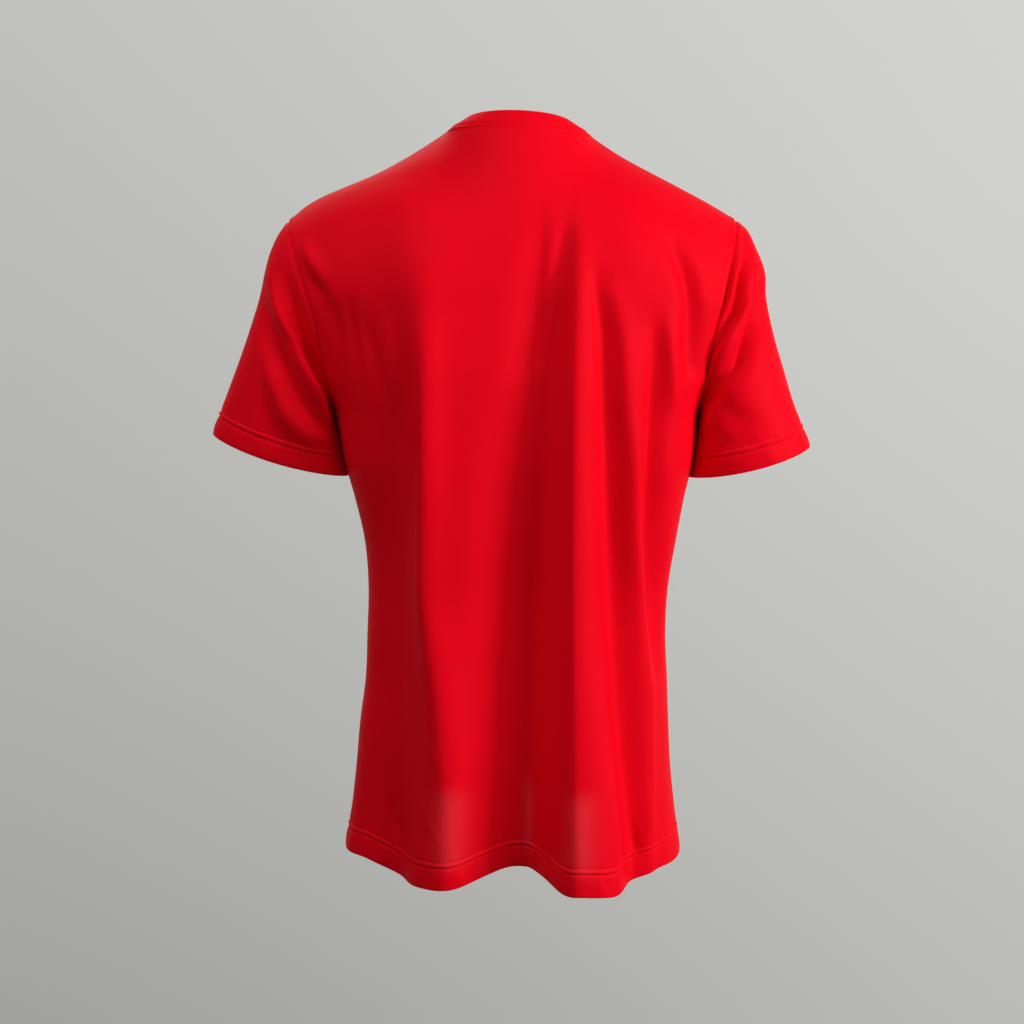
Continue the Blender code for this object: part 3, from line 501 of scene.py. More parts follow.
# How far the back's hem rides up where its folds draw it in, or drops at its lobes.
HEM_LIFT = table(
    "x lift",
    [
        (-0.180, 0.000),
        (-0.166, 0.000),
        (-0.140, 0.002),
        (-0.115, -0.003),
        (-0.098, -0.006),
        (-0.080, -0.004),
        (-0.060, -0.002),
        (-0.044, -0.002),
        (-0.028, 0.005),
        (-0.010, 0.008),
        (0.030, 0.006),
        (0.060, -0.001),
        (0.090, -0.004),
        (0.112, -0.006),
        (0.135, 0.000),
        (0.155, 0.005),
        (0.172, 0.003),
        (0.180, 0.001),
    ],
)
HEM_LIFT_REACH = 0.12
SIDE_LIFT_REACH = 0.05

# Finer creases, on the same terms as the folds.
BACK_CREASES = {
    "pressed_left": [
        (0.091, -0.255, 0.0020, 0.0020, 0.0001),
        (0.096, -0.330, 0.0020, 0.0020, 0.0004),
        (0.103, -0.450, 0.0020, 0.0020, 0.0005),
        (0.107, -0.560, 0.0020, 0.0020, 0.0004),
        (0.109, -0.690, 0.0020, 0.0020, 0.0002),
    ],
    "pressed_flank": [
        (0.130, -0.215, 0.0022, 0.0022, 0.0001),
        (0.131, -0.300, 0.0022, 0.0022, 0.0004),
        (0.134, -0.410, 0.0022, 0.0022, 0.0002),
    ],
    "left_arc": [
        (0.0920, -0.560, 0.0030, 0.0030, 0.0001),
        (0.0870, -0.582, 0.0030, 0.0030, 0.0009),
        (0.0770, -0.600, 0.0035, 0.0035, 0.0007),
        (0.0660, -0.610, 0.0035, 0.0035, 0.0001),
    ],
    "low_left_arc": [
        (0.0930, -0.636, 0.0030, 0.0030, 0.0001),
        (0.0870, -0.658, 0.0030, 0.0030, 0.0010),
        (0.0760, -0.676, 0.0035, 0.0035, 0.0006),
        (0.0680, -0.684, 0.0035, 0.0035, 0.0001),
    ],
    "hem_pucker_far_left": [
        (0.1240, -0.655, 0.0060, 0.0060, -0.0002),
        (0.1190, -0.682, 0.0055, 0.0055, -0.0022),
        (0.1130, -0.700, 0.0060, 0.0060, -0.0006),
    ],
    "hem_pucker_left": [
        (0.1020, -0.672, 0.0050, 0.0050, 0.0002),
        (0.0970, -0.690, 0.0045, 0.0045, 0.0016),
        (0.0900, -0.702, 0.0050, 0.0050, 0.0004),
    ],
    "hem_streak_right": [
        (-0.0940, -0.620, 0.0060, 0.0060, 0.0003),
        (-0.0985, -0.665, 0.0055, 0.0055, 0.0024),
        (-0.1020, -0.702, 0.0055, 0.0055, 0.0020),
    ],
    "hem_pucker_right": [
        (-0.1120, -0.668, 0.0045, 0.0045, -0.0003),
        (-0.1150, -0.690, 0.0045, 0.0045, -0.0026),
        (-0.1180, -0.703, 0.0045, 0.0045, -0.0012),
    ],
    "hem_pucker_far_right": [
        (-0.1310, -0.640, 0.0040, 0.0040, 0.0003),
        (-0.1320, -0.672, 0.0040, 0.0040, 0.0014),
        (-0.1300, -0.694, 0.0040, 0.0040, 0.0006),
    ],
}
FRONT_CREASES = {
    "pressed_left": [
        (0.098, -0.240, 0.0020, 0.0020, 0.0001),
        (0.104, -0.400, 0.0020, 0.0020, 0.0005),
        (0.108, -0.640, 0.0020, 0.0020, 0.0002),
    ],
    "pressed_right": [
        (-0.102, -0.230, 0.0020, 0.0020, 0.0001),
        (-0.107, -0.420, 0.0020, 0.0020, 0.0005),
        (-0.109, -0.660, 0.0020, 0.0020, 0.0002),
    ],
}
SLEEVE_CREASES = {
    "left": {
        "pressed": [
            (0.249, -0.165, 0.0018, 0.0018, 0.0001),
            (0.249, -0.230, 0.0018, 0.0018, 0.0006),
            (0.250, -0.290, 0.0018, 0.0018, 0.0003),
        ],
    },
    "right": {
        "fork": [
            (-0.2385, -0.139, 0.0024, 0.0024, -0.0006),
            (-0.2240, -0.160, 0.0024, 0.0024, -0.0020),
            (-0.2070, -0.185, 0.0024, 0.0024, -0.0022),
            (-0.1900, -0.211, 0.0024, 0.0024, -0.0006),
        ],
        "pressed": [
            (-0.246, -0.165, 0.0018, 0.0018, 0.0001),
            (-0.247, -0.230, 0.0018, 0.0018, 0.0005),
            (-0.252, -0.295, 0.0018, 0.0018, 0.0003),
        ],
    },
}


# ---------------------------------------------------------------- curves


def read(rows, column, at):
    """One column of a table, read smoothly at the given places in its first column."""
    places, values = list(rows.values())[0], rows[column]
    slopes = np.gradient(values, places)
    at = np.clip(at, places[0], places[-1])
    left = np.clip(np.searchsorted(places, at, side="right") - 1, 0, len(places) - 2)
    span = places[left + 1] - places[left]
    t = (at - places[left]) / span
    return (
        values[left] * (1 + 2 * t) * (1 - t) ** 2
        + slopes[left] * span * t * (1 - t) ** 2
        + values[left + 1] * t * t * (3 - 2 * t)
        + slopes[left + 1] * span * t * t * (t - 1)
    )


def smooth(low, high, value):
    t = np.clip((value - low) / (high - low), 0, 1)
    return t * t * (3 - 2 * t)


def bump(place, spread, value):
    return np.exp(-(((value - place) / spread) ** 2))


def run_of(points):
    """Distance along a polyline to each of its points."""
    steps = np.linalg.norm(np.diff(points, axis=0), axis=1)
    return np.concatenate([[0], np.cumsum(steps)])


def spread_along(points, shares):
    """The points at the given shares of a polyline's length."""
    run = run_of(points)
    return np.array([np.interp(shares * run[-1], run, axis) for axis in points.T]).T


def unit(vectors):
    return vectors / np.maximum(np.linalg.norm(vectors, axis=-1, keepdims=True), 1e-12)


def neckline(turn):
    """The neck seam at an angle: 0 at the left neck point, over the back to pi at the right."""
    back = np.sin(turn) >= 0
    rise = np.abs(np.sin(turn))
    across = NECK_HALF_WIDTH * np.cos(turn)
    y = np.where(back, NECK_BACK_REACH * rise**NECK_BACK_BEND, -NECK_FRONT_REACH * rise)
    z = NECK_HEIGHT + NECK_TILT * across
    z += np.where(back, NECK_BACK_RISE * rise, -NECK_FRONT_DROP * rise**NECK_FRONT_BEND)
    return np.stack([NECK_CENTRE + across, y, z], axis=-1)


def neck_band_lean(turn):
    """Which way the neck band stands from its seam: inward and up."""
    back = np.sin(turn) >= 0
    rise = np.abs(np.sin(turn))
    middle = np.where(back, NECK_LEAN["back"], NECK_LEAN["front"])
    inward = NECK_LEAN["side"] + (middle - NECK_LEAN["side"]) * rise**NECK_LEAN_BEND
    up = np.sqrt(1 - inward**2)
    level = np.stack([-np.cos(turn), -np.sin(turn), 0 * turn], axis=-1)
    return level * inward[:, None] + np.stack([0 * up, 0 * up, up], axis=-1)


def shoulder_seam(side, shares):
    """Points on a shoulder seam at shares of its run from the neck point to the shoulder tip."""
    sign = 1 if side == "left" else -1
    start = neckline(0.0 if side == "left" else pi)
    x = start[0] + (sign * SHOULDER_TIP[side] - start[0]) * shares
    y = start[1] + (SHOULDER_TIP_SETBACK - start[1]) * shares
    z = start[2] - read(SHOULDER_SEAM, side, shares)
    return np.stack([x, y, z], axis=-1)


# ---------------------------------------------------------------- body panels


def column_places(neck_cells):
    """Columns in cells from the left edge, a few to a cell and closer by the edges."""
    last = 2 * SHOULDER_CELLS + neck_cells
    near = SEAM_STEPS / SIDE_CELL
    inner = np.linspace(1, last - 1, (last - 2) * COLUMNS_A_CELL + 1)
    return np.concatenate([near, inner, (last - near)[::-1]])


def column_shares(places, neck_cells):
    """The share of a ring's half length at each column."""
    corners = np.cumsum([0, SHOULDER_CELLS, neck_cells, SHOULDER_CELLS])
    return np.interp(places, corners, [0, SHOULDER_SHARE, 1 - SHOULDER_SHARE, 1])


def ring(height, edge_reach, back, shares):
    """Half of a body ring, from its left edge to its right one over the back or the front."""
    rise = smooth(UNDERARM_HEIGHT, YOKE_HEIGHT, height) * (0 if back else FRONT_ARMHOLE_SCOOP)
    reach = read(BODY_RINGS, "back" if back else "front", height)
    power = 2 / read(BODY_RINGS, "fullness", height)
    edge = np.arcsin((edge_reach / reach) ** (1 / power))
    turn = np.linspace(edge, pi - edge, CURVE_SAMPLES)
    across, out = np.cos(turn), np.sin(turn)
    left, right = (read(BODY_RINGS, side, height) * (1 - rise) for side in ("left", "right"))
    x = np.where(across > 0, left, right) * np.sign(across) * np.abs(across) ** power
    y = reach * out**power * (1 if back else -1)
    curve = np.stack([x, y, np.full_like(x, height)], axis=-1)
    return spread_along(curve, shares)


def top_edge(back, places, neck_cells):
    """The panel's top: up the left shoulder seam, along the neckline and down the right seam."""
    left = places < SHOULDER_CELLS
    right = places > SHOULDER_CELLS + neck_cells
    middle = ~(left | right)
    turn = (places[middle] - SHOULDER_CELLS) / neck_cells * pi * (1 if back else -1)
    down = places[right] - SHOULDER_CELLS - neck_cells
    return np.concatenate(
        [
            shoulder_seam("left", 1 - places[left] / SHOULDER_CELLS),
            neckline(turn),
            shoulder_seam("right", down / SHOULDER_CELLS),
        ]
    )


def hem_distances(needles):
    """Distances of the rows from a hem's edge, close together by its two needle lines."""
    close = [needle + HEM_CLOSE_STEPS for needle in needles]
    above = needles[1] + np.array([0.0045, 0.0075])
    return np.unique(np.round(np.concatenate([HEM_STEPS, *close, above]), 5))


def body_heights():
    hem = HEM_HEIGHT + hem_distances(HEM_NEEDLES)
    count = int((UNDERARM_HEIGHT - hem[-1]) / ROW_STEP)
    return np.concatenate([hem, np.linspace(hem[-1], UNDERARM_HEIGHT, count)[1:]])


def body_panel(back):
    """The panel's middle surface: rows from the hem up, columns from the wearer's left."""
    neck_cells = BACK_NECK_CELLS if back else FRONT_NECK_CELLS
    places = column_places(neck_cells)
    shares = column_shares(places, neck_cells)
    rows = [ring(height, 0.0, back, shares) for height in body_heights()]
    for turn in np.linspace(0, pi / 2, ARMPIT_ROWS + 1)[1:]:
        height = YOKE_HEIGHT + (UNDERARM_HEIGHT - YOKE_HEIGHT) * np.cos(turn)
        rows.append(ring(height, ARMHOLE_REACH * np.sin(turn), back, shares))
    near = 1 - SEAM_STEPS[::-1] / YOKE_LENGTH
    yoke_shares = np.concatenate([np.linspace(0, near[0], YOKE_ROWS + 1)[1:-1], near])
    yoke, top = rows[-1], top_edge(back, places, neck_cells)
    from_neck = np.abs(shares - 0.5) / (0.5 - SHOULDER_SHARE)
    roundness = smooth(YOKE_ROUND_FROM, YOKE_ROUND_TO, from_neck)
    for share in yoke_shares:
        rise = share + roundness * (np.sin(share * pi / 2) - share)
        flat = 1 - share**YOKE_FALL
        draw_in = flat + roundness * (np.cos(share * pi / 2) - flat)
        row = yoke + (top - yoke) * rise[:, None]
        row[:, 1] = top[:, 1] + (yoke[:, 1] - top[:, 1]) * draw_in
        rows.append(eased_row(row, places, share))
    return np.array(rows)


def eased_row(row, places, share):
    """A yoke row with the corner below each neck point eased, its ends held where they are."""
    strength = YOKE_EASE_PASSES * min(1, YOKE_EASE * min(share, 1 - share)) / 2
    if strength < 1e-4:
        return row
    turned = [2 * row[0] - row[:0:-1], row, 2 * row[-1] - row[-2::-1]]
    at = np.concatenate([-places[:0:-1], places, 2 * places[-1] - places[-2::-1]])
    weight = np.exp(-((places[:, None] - at) ** 2) / (2 * strength)) * np.gradient(at)
    return (weight / weight.sum(1, keepdims=True)) @ np.concatenate(turned)


# ---------------------------------------------------------------- sleeves and neck band


def armhole(side, back_panel, front_panel):
    """The closed armhole seam from the shoulder tip down one panel's edge and up the other's."""
    first_row = len(body_heights()) - 1
    edge = 0 if side == "left" else -1
    back_edge = back_panel[first_row:, edge]
    front_edge = front_panel[first_row:, edge]
    down, up = (front_edge, back_edge) if side == "left" else (back_edge, front_edge)
    return np.concatenate([down[::-1], up[1:-1]])


def loop_turns(loop):
    """Angle of each point of an armhole, 0 at the shoulder tip and pi at the underarm."""
    half = len(loop) // 2
    down = run_of(loop[: half + 1])
    up = run_of(np.concatenate([loop[half:], loop[:1]]))
    return np.concatenate([pi * down / down[-1], (pi + pi * up / up[-1])[1:-1]])


def sleeve(side, loop):
    """The sleeve's middle surface: rows from the armhole to the hem, columns round the arm."""
    turn = loop_turns(loop)
    outward = (1 + np.cos(turn)) / 2
    length = SLEEVE_LENGTH["inner"] + (SLEEVE_LENGTH["outer"] - SLEEVE_LENGTH["inner"]) * outward
    distances = hem_distances(CUFF_NEEDLES)[::-1]
    near, far = SEAM_STEPS[-1] / length, 1 - distances[0] / length
    shares = [step / length for step in SEAM_STEPS]
    for place in np.linspace(0, 1, SLEEVE_ROWS + 1)[1:-1]:
        shares.append(near + (far - near) * place**SLEEVE_ROW_BEND)
    shares += [1 - distance / length for distance in distances]
    start = sleeve_ring(side, np.zeros_like(turn), turn)
    rows = []
    for share in shares:
        hold = ((1 - share) ** SLEEVE_RELEASE)[:, None]
        rows.append(sleeve_ring(side, share, turn) + (loop - start) * hold)
    return np.array(rows)


def sleeve_ring(side, share, turn):
    sign = 1 if side == "left" else -1
    rings = SLEEVE_RINGS[side]
    outer = np.stack([read(rings, "outer_x", share), read(rings, "outer_z", share)])
    inner = np.stack([read(rings, "inner_x", share), read(rings, "inner_z", share)])
    middle, half = (outer + inner) / 2, (outer - inner) / 2
    x, z = middle + half * np.cos(turn)
    y = -sign * read(rings, "depth", share) * np.sin(turn)
    dip = SLEEVE_HEM_DIP * share**3 * np.sin(turn) ** 2
    return np.stack([sign * x, y, z - dip], axis=-1)


def neck_turns():
    """Angles of the neck band's columns, the same as the panels' columns along the neck seam."""
    turns = []
    for neck_cells, start in ((BACK_NECK_CELLS, 0), (FRONT_NECK_CELLS, pi)):
        places = column_places(neck_cells) - SHOULDER_CELLS
        places = places[(places > -1e-9) & (places < neck_cells - 1e-9)]
        turns.append(start + places / neck_cells * pi)
    return np.concatenate(turns)


def neck_band():
    """The neck band's outer face: rows from its seam up, columns round the neck."""
    turn = neck_turns()
    seam, lean = neckline(turn), neck_band_lean(turn)
    near = SEAM_STEPS[:6]
    widths = np.concatenate([near, np.linspace(near[-1], NECK_BAND_WIDTH - BAND_FOLD, 8)[1:]])
    return np.array([seam + lean * width for width in widths])


# ---------------------------------------------------------------- folds


def centre_line(stations):
    """A fold's stations as a table, read smoothly at even shares of its run."""
    rows = table("run " + FOLD_COLUMNS, [(i, *station) for i, station in enumerate(stations)])
    at = np.linspace(0, len(stations) - 1, FOLD_SAMPLES + 1)
    return {column: read(rows, column, at) for column in FOLD_COLUMNS.split()}


def fold_lift(stations, x, z):
    """How far one fold lifts the points at x and z."""
    line = centre_line(stations)
    nearest = np.full(x.shape, np.inf)
    lift = np.zeros(x.shape)
    for i in range(FOLD_SAMPLES):
        run_x = line["x"][i + 1] - line["x"][i]
        run_z = line["z"][i + 1] - line["z"][i]
        along = ((x - line["x"][i]) * run_x + (z - line["z"][i]) * run_z) / (run_x**2 + run_z**2)
        along = np.clip(along, 0, 1)
        off_x = x - line["x"][i] - along * run_x
        off_z = z - line["z"][i] - along * run_z
        distance = np.hypot(off_x, off_z)
        here = {name: line[name][i] + along * np.diff(line[name])[i] for name in line}
        spread = np.where(off_x > 0, here["left"], here["right"])
        falling = here["lift"] * np.exp(-((distance / spread) ** 2))
        closer = distance < nearest
        lift = np.where(closer, falling, lift)
        nearest = np.minimum(nearest, distance)
    return lift


def edge_distance(surface, edge):
    """Distance along the surface's rows or columns from one of its edges."""
    axis = 0 if "row" in edge else 1
    grid = surface if "first" in edge else np.flip(surface, axis)
    steps = np.linalg.norm(np.diff(grid, axis=axis), axis=2)
    distance = np.concatenate([0 * steps.take([0], axis), np.cumsum(steps, axis)], axis)
    return distance if "first" in edge else np.flip(distance, axis)


def folded(surface, normals, folds_back, folds_front, edges, fade_reach):
    """The surface with its folds raised and sunk along its normals, dying out at its seams."""
    x, z = surface[..., 0], surface[..., 2]
    facing = normals[..., 1]
    lift = np.zeros(x.shape)
    for folds, turned in ((folds_back, facing), (folds_front, -facing)):
        total = sum((fold_lift(stations, x, z) for stations in folds.values()), np.zeros(x.shape))
        lift += total * smooth(*FOLD_FACING, turned)
    for edge in edges:
        lift *= smooth(0, fade_reach, edge_distance(surface, edge))
    return surface + normals * lift[..., None]


def hem_lifted(surface, share):
    """A panel whose hem is drawn up where the back's folds are deepest, by a share of that lift."""
    x, z = surface[..., 0], surface[..., 2]
    near_hem = 1 - smooth(0, HEM_LIFT_REACH, z - HEM_HEIGHT)
    lifted = surface.copy()
    lifted[..., 2] += read(HEM_LIFT, "lift", x) * near_hem * share
    return lifted


def near_sides(panel, reach):
    """1 at a panel's side seams, dying out at that distance from them."""
    sides = [edge_distance(panel, edge) for edge in ("first_column", "last_column")]
    return 1 - smooth(0, reach, np.minimum(*sides))


# ---------------------------------------------------------------- normals

BODY_SEAMS = ("last_row", "first_column", "last_column")
SEAMS = {
    "back_panel": BODY_SEAMS,
    "front_panel": BODY_SEAMS,
    "sleeve_left": ("first_row",),
    "sleeve_right": ("first_row",),
    "neck_band": ("first_row",),
}
CLOSED = {name: not name.endswith("panel") for name in SEAMS}
FOLDS = {
    "back_panel": (BACK_FOLDS, {}),
    "front_panel": ({}, FRONT_FOLDS),
    "sleeve_left": (SLEEVE_BACK_FOLDS["left"], SLEEVE_FRONT_FOLDS["left"]),
    "sleeve_right": (SLEEVE_BACK_FOLDS["right"], SLEEVE_FRONT_FOLDS["right"]),
}
CREASES = {
    "back_panel": (BACK_CREASES, {}),
    "front_panel": ({}, FRONT_CREASES),
    "sleeve_left": (SLEEVE_CREASES["left"], SLEEVE_CREASES["left"]),
    "sleeve_right": (SLEEVE_CREASES["right"], SLEEVE_CREASES["right"]),
}
CREASE_FADE = 0.010


def surface_normals(surface, closed):
    """Unit normals at a grid's points, outward where columns by rows points outward."""
    grid = np.concatenate([surface, surface[:, :1]], axis=1) if closed else surface
    cells = np.cross(grid[1:, 1:] - grid[:-1, :-1], grid[1:, :-1] - grid[:-1, 1:])
    cells = cells / np.maximum(np.linalg.norm(cells, axis=2, keepdims=True), 1e-15)
    normals = np.zeros_like(grid)
    for rows in (slice(None, -1), slice(1, None)):
        for columns in (slice(None, -1), slice(1, None)):
            normals[rows, columns] += cells
    if closed:
        normals[:, 0] += normals[:, -1]
        normals = normals[:, :-1]
    return unit(normals)


def edge_index(edge):
    """Which of a grid's points lie on one of its edges."""
    line = 0 if "first" in edge else -1
    return (line, slice(None)) if "row" in edge else (slice(None), line)


def share_normals(surfaces):
    """Normals of every piece, made the same on both sides of each seam."""
    normals = {name: surface_normals(surface, CLOSED[name]) for name, surface in surfaces.items()}
    meeting = {}
    for name, surface in surfaces.items():
        for edge in SEAMS[name]:
            index = edge_index(edge)
            for point, normal in zip(surface[index], normals[name][index]):
                meeting.setdefault(tuple(np.round(point * 1e5).astype(int)), []).append(normal)
    shared = {place: unit(sum(found)) for place, found in meeting.items()}
    for name, surface in surfaces.items():
        for edge in SEAMS[name]:
            index = edge_index(edge)
            points = surface[index]
            places = [tuple(place) for place in np.round(points * 1e5).astype(int)]
            normals[name][index] = np.array([shared[place] for place in places])
    return normals


# ---------------------------------------------------------------- seams and hems in relief


def seam_relief(name, surface):
    """Depth of the groove at each seam, and the low step over the allowance that lies under it."""
    distances = {edge: edge_distance(surface, edge) for edge in SEAMS[name]}
    groove = np.max([bump(0, SEAM_SINK_SPREAD, away) for away in distances.values()], axis=0)
    relief = -SEAM_SINK * groove
    for edge, away in distances.items():
        if (name, edge) in (("back_panel", "first_column"), ("back_panel", "last_column")):
            relief += allowance_step(away)
        elif name.startswith("sleeve"):
            relief += allowance_step(away)
        elif edge == "last_row":
            relief += np.where(on_neck(surface), neck_ridge(away), allowance_step(away))
    return relief


def allowance_step(away):
    rising = smooth(0.0006, 0.0022, away)
    ending = smooth(ALLOWANCE_WIDTH - 0.001, ALLOWANCE_WIDTH + 0.002, away)
    return ALLOWANCE_LIFT * rising * (1 - ending)


def neck_ridge(away):
    return NECK_RIDGE_LIFT * bump(NECK_RIDGE_PLACE, NECK_RIDGE_SPREAD, away)


def on_neck(surface):
    """Which columns of a panel end at the neck seam and not at a shoulder seam."""
    top = surface[-1]
    return (np.abs(top[:, 0] - NECK_CENTRE) <= NECK_HALF_WIDTH + 1e-6)[None, :]


def unevenness(surface, edge):
    """From -1 to 1 along a hem: the handling marks of its stitching."""
    run = run_of(surface[0 if "first" in edge else -1])
    waves = sum(share * np.sin(2 * pi * run / length + start) for length, share, start in HEM_WAVES)
    return waves[None, :]


def hem_relief(surface, edge, needles):
    """The doubled band, the two sunk needle lines and the tunnel that they raise between them."""
    away, uneven = edge_distance(surface, edge), unevenness(surface, edge)
    lower, upper = needles
    across = np.sin(pi * np.clip(away / lower, 0, 1))
    band = BAND_PUFF * across**0.7 + HEM_LUMP * uneven * across
    lines = -NEEDLE_SINK * (bump(lower, 0.0009, away) + 0.6 * bump(upper, 0.0011, away))
    tunnel = TUNNEL_LIFT * (1 + 0.3 * uneven) * bump((lower + upper) / 2, 0.0017, away)
    drawn = HEM_DRAW * np.roll(uneven, 3, axis=1) * bump(upper + 0.006, 0.0055, away)
    return band + lines + tunnel + drawn


def dressed(name, surface, normals):
    """The piece's surface with its creases, seams and hem in relief."""
    if name in CREASES:
        surface = folded(surface, normals, *CREASES[name], SEAMS[name], CREASE_FADE)
    relief = seam_relief(name, surface)
    if name.endswith("panel"):
        relief += hem_relief(surface, "first_row", HEM_NEEDLES)
    elif name.startswith("sleeve"):
        relief += hem_relief(surface, "last_row", CUFF_NEEDLES)
    else:
        away = edge_distance(surface, "first_row")
        relief += BAND_LIFT * smooth(0.0004, 0.0030, away)
    return surface + normals * relief[..., None]


# ---------------------------------------------------------------- cloth shells


def turned_up(surface, normals, radius, inner_steps):
    """The surface's first rows doubled back inside it over a round fold."""
    down = unit(surface[0] - surface[1])
    fold = []
    for turn in (pi / 4, pi / 2, 3 * pi / 4):
        fold.append(surface[0] - normals[0] * radius * (1 - cos(turn)) + down * radius * sin(turn))
    away = edge_distance(surface, "first_row").mean(1)
    rows = [int(np.argmin(np.abs(away - step))) for step in inner_steps]
    inner = [surface[row] - 2 * radius * normals[row] for row in rows]
    return np.concatenate([np.array(inner[::-1]), np.array(fold[::-1]), surface])


def cloth_map(grid):
    """Each point's place on the flat cloth, in metres: across its rows and along its columns."""
    ring_run = np.array([run_of(row)[-1] for row in grid]).mean()
    some_rows = grid[:: max(1, len(grid) // 8)]
    across = np.mean([run_of(row) / run_of(row)[-1] for row in some_rows], axis=0)
    along = run_of(grid[:, grid.shape[1] // 4])
    return np.stack(np.meshgrid(across * ring_run, along), axis=-1)


def deselect():
    if bpy.context.object and bpy.context.object.mode != "OBJECT":
        bpy.ops.object.mode_set(mode="OBJECT")
    bpy.ops.object.select_all(action="DESELECT")


def apply_modifiers(piece):
    deselect()
    bpy.context.view_layer.objects.active = piece
    piece.select_set(True)
    for modifier in list(piece.modifiers):
        bpy.ops.object.modifier_apply(modifier=modifier.name)


def cloth_shell(name, grid, closed, material):
    """A knit shell laid over a grid of points, with its own map and the knit's thickness."""
    if closed:
        grid = np.concatenate([grid, grid[:, :1]], axis=1)
    rows, columns = grid.shape[:2]
    deselect()
    bpy.ops.mesh.primitive_grid_add(x_subdivisions=columns - 1, y_subdivisions=rows - 1, size=1)
    piece = bpy.context.object
    piece.name = piece.data.name = name
    mesh = piece.data
    mesh.vertices.foreach_set("co", grid.reshape(-1))
    flat = cloth_map(grid).reshape(-1, 2)
    corners = np.empty(len(mesh.loops), int)
    mesh.loops.foreach_get("vertex_index", corners)
    mesh.uv_layers[0].data.foreach_set("uv", flat[corners].reshape(-1))
    if closed:
        shape = bmesh.new()
        shape.from_mesh(mesh)
        bmesh.ops.remove_doubles(shape, verts=shape.verts, dist=1e-6)
        shape.to_mesh(mesh)
        shape.free()
    wall = piece.modifiers.new("knit", "SOLIDIFY")
    wall.thickness = KNIT
    wall.offset = 0
    apply_modifiers(piece)
    mesh.shade_smooth()
    mesh.set_sharp_from_angle(angle=radians(60))
    mesh.materials.clear()
    mesh.materials.append(material)
    return piece


# ---------------------------------------------------------------- stitching


def stitch_shape(length, radius, sink):
    """One stitch along X: a rice grain of thread whose ends dive into the cloth."""
    deselect()
    bpy.ops.mesh.primitive_uv_sphere_add(segments=6, ring_count=6, radius=1)
    grain = bpy.context.object
    points = np.array([vertex.co for vertex in grain.data.vertices])
    faces = [list(face.vertices) for face in grain.data.polygons]
    bpy.data.objects.remove(grain)
    points = points[:, [2, 0, 1]]
    points[:, 0] *= length / 2
    points[:, 1:] *= radius
    points[:, 2] -= sink * (points[:, 0] * 2 / length) ** 2
    return points, faces


def sewn(name, starts, ends, outward, material, sink):
    """Stitches from each start to its end, on the side that outward points to, as one mesh."""
    points, faces = stitch_shape(1, THREAD / 2, sink)
    along = ends - starts
    run = np.linalg.norm(along, axis=1, keepdims=True)
    forward = along / run
    across = unit(np.cross(outward, forward))
    upward = np.cross(forward, across)
    middle = (starts + ends) / 2
    placed = (
        middle[:, None]
        + points[None, :, :1] * (run * forward)[:, None]
        + points[None, :, 1:2] * across[:, None]
        + points[None, :, 2:] * upward[:, None]
    )
    corners = [[i + n * len(points) for i in face] for n in range(len(starts)) for face in faces]
    mesh = bpy.data.meshes.new(name)
    mesh.from_pydata(placed.reshape(-1, 3).tolist(), [], corners)
    mesh.shade_smooth()
    mesh.materials.append(material)
    piece = bpy.data.objects.new(name, mesh)
    bpy.context.scene.collection.objects.link(piece)
    return piece


def line_beside(surface, normals, edge, reach):
    """The grid's own line of points nearest to that distance from an edge, and its normals."""
    axis = 0 if "row" in edge else 1
    away = edge_distance(surface, edge).mean(1 - axis)
    line = int(np.argmin(np.abs(away - reach)))
    return surface.take(line, axis), normals.take(line, axis)


def joined(line, closed):
    return np.concatenate([line, line[:1]]) if closed else line


def straight_row(line, normals, height):
    """Starts, ends and outward directions of a straight row of stitches, that high up."""
    count = int(run_of(line)[-1] / STITCH)
    shares = np.linspace(0, 1, count + 1)
    places, outward = spread_along(line + normals * height, shares), spread_along(normals, shares)
    starts, ends = places[:-1], places[1:]
    gap = unit(ends - starts) * STITCH_GAP / 2
    return starts + gap, ends - gap, unit(outward[:-1] + outward[1:])


def zigzag(near, far, normals, depth):
    """Thread that runs to and fro between two lines, that deep inside the cloth."""
    count = int(run_of(near)[-1] / STITCH)
    shares = np.arange(count) / count
    inward = -normals
    near, far = near + inward * depth, far + inward * depth
    first = spread_along(near, shares)
    turn = spread_along(far, shares + 0.5 / count)
    last = spread_along(near, shares + 1 / count)
    facing = unit(spread_along(inward, shares))
    return tuple(np.concatenate(pair) for pair in ((first, turn), (turn, last), (facing, facing)))


def coverstitch(surface, normals, needles, closed):
    """Two straight rows outside a turned-up hem, and the looped thread between them inside it."""
    lines = [line_beside(surface, normals, "first_row", needle) for needle in needles]
    lines = [(joined(line, closed), joined(outward, closed)) for line, outward in lines]
    rows = [straight_row(line, outward, ON_KNIT) for line, outward in lines]
    (lower, outward), (upper, _) = lines
    return rows + [zigzag(lower, upper, outward, 2 * FOLD_RADIUS + ON_KNIT)]


def allowance(name, surface, normals, edge, closed, material):
    """A seam's spare cloth lying flat inside it, and the overlocked thread that holds it."""
    axis = 0 if "row" in edge else 1
    away = edge_distance(surface, edge).mean(1 - axis)
    within = np.flatnonzero((away > 0.0004) & (away < ALLOWANCE_WIDTH + 0.0004))
    strip, facing = surface.take(within, axis), normals.take(within, axis)
    deep = KNIT + ALLOWANCE_GAP
    spare = cloth_shell(name, strip - facing * deep, closed, material)
    near, outward = line_beside(surface, normals, edge, 0.0010)
    far, _ = line_beside(surface, normals, edge, ALLOWANCE_WIDTH)
    near, far, outward = (joined(line, closed) for line in (near, far, outward))
    return spare, zigzag(near, far, outward, deep + ON_KNIT)


# ---------------------------------------------------------------- materials

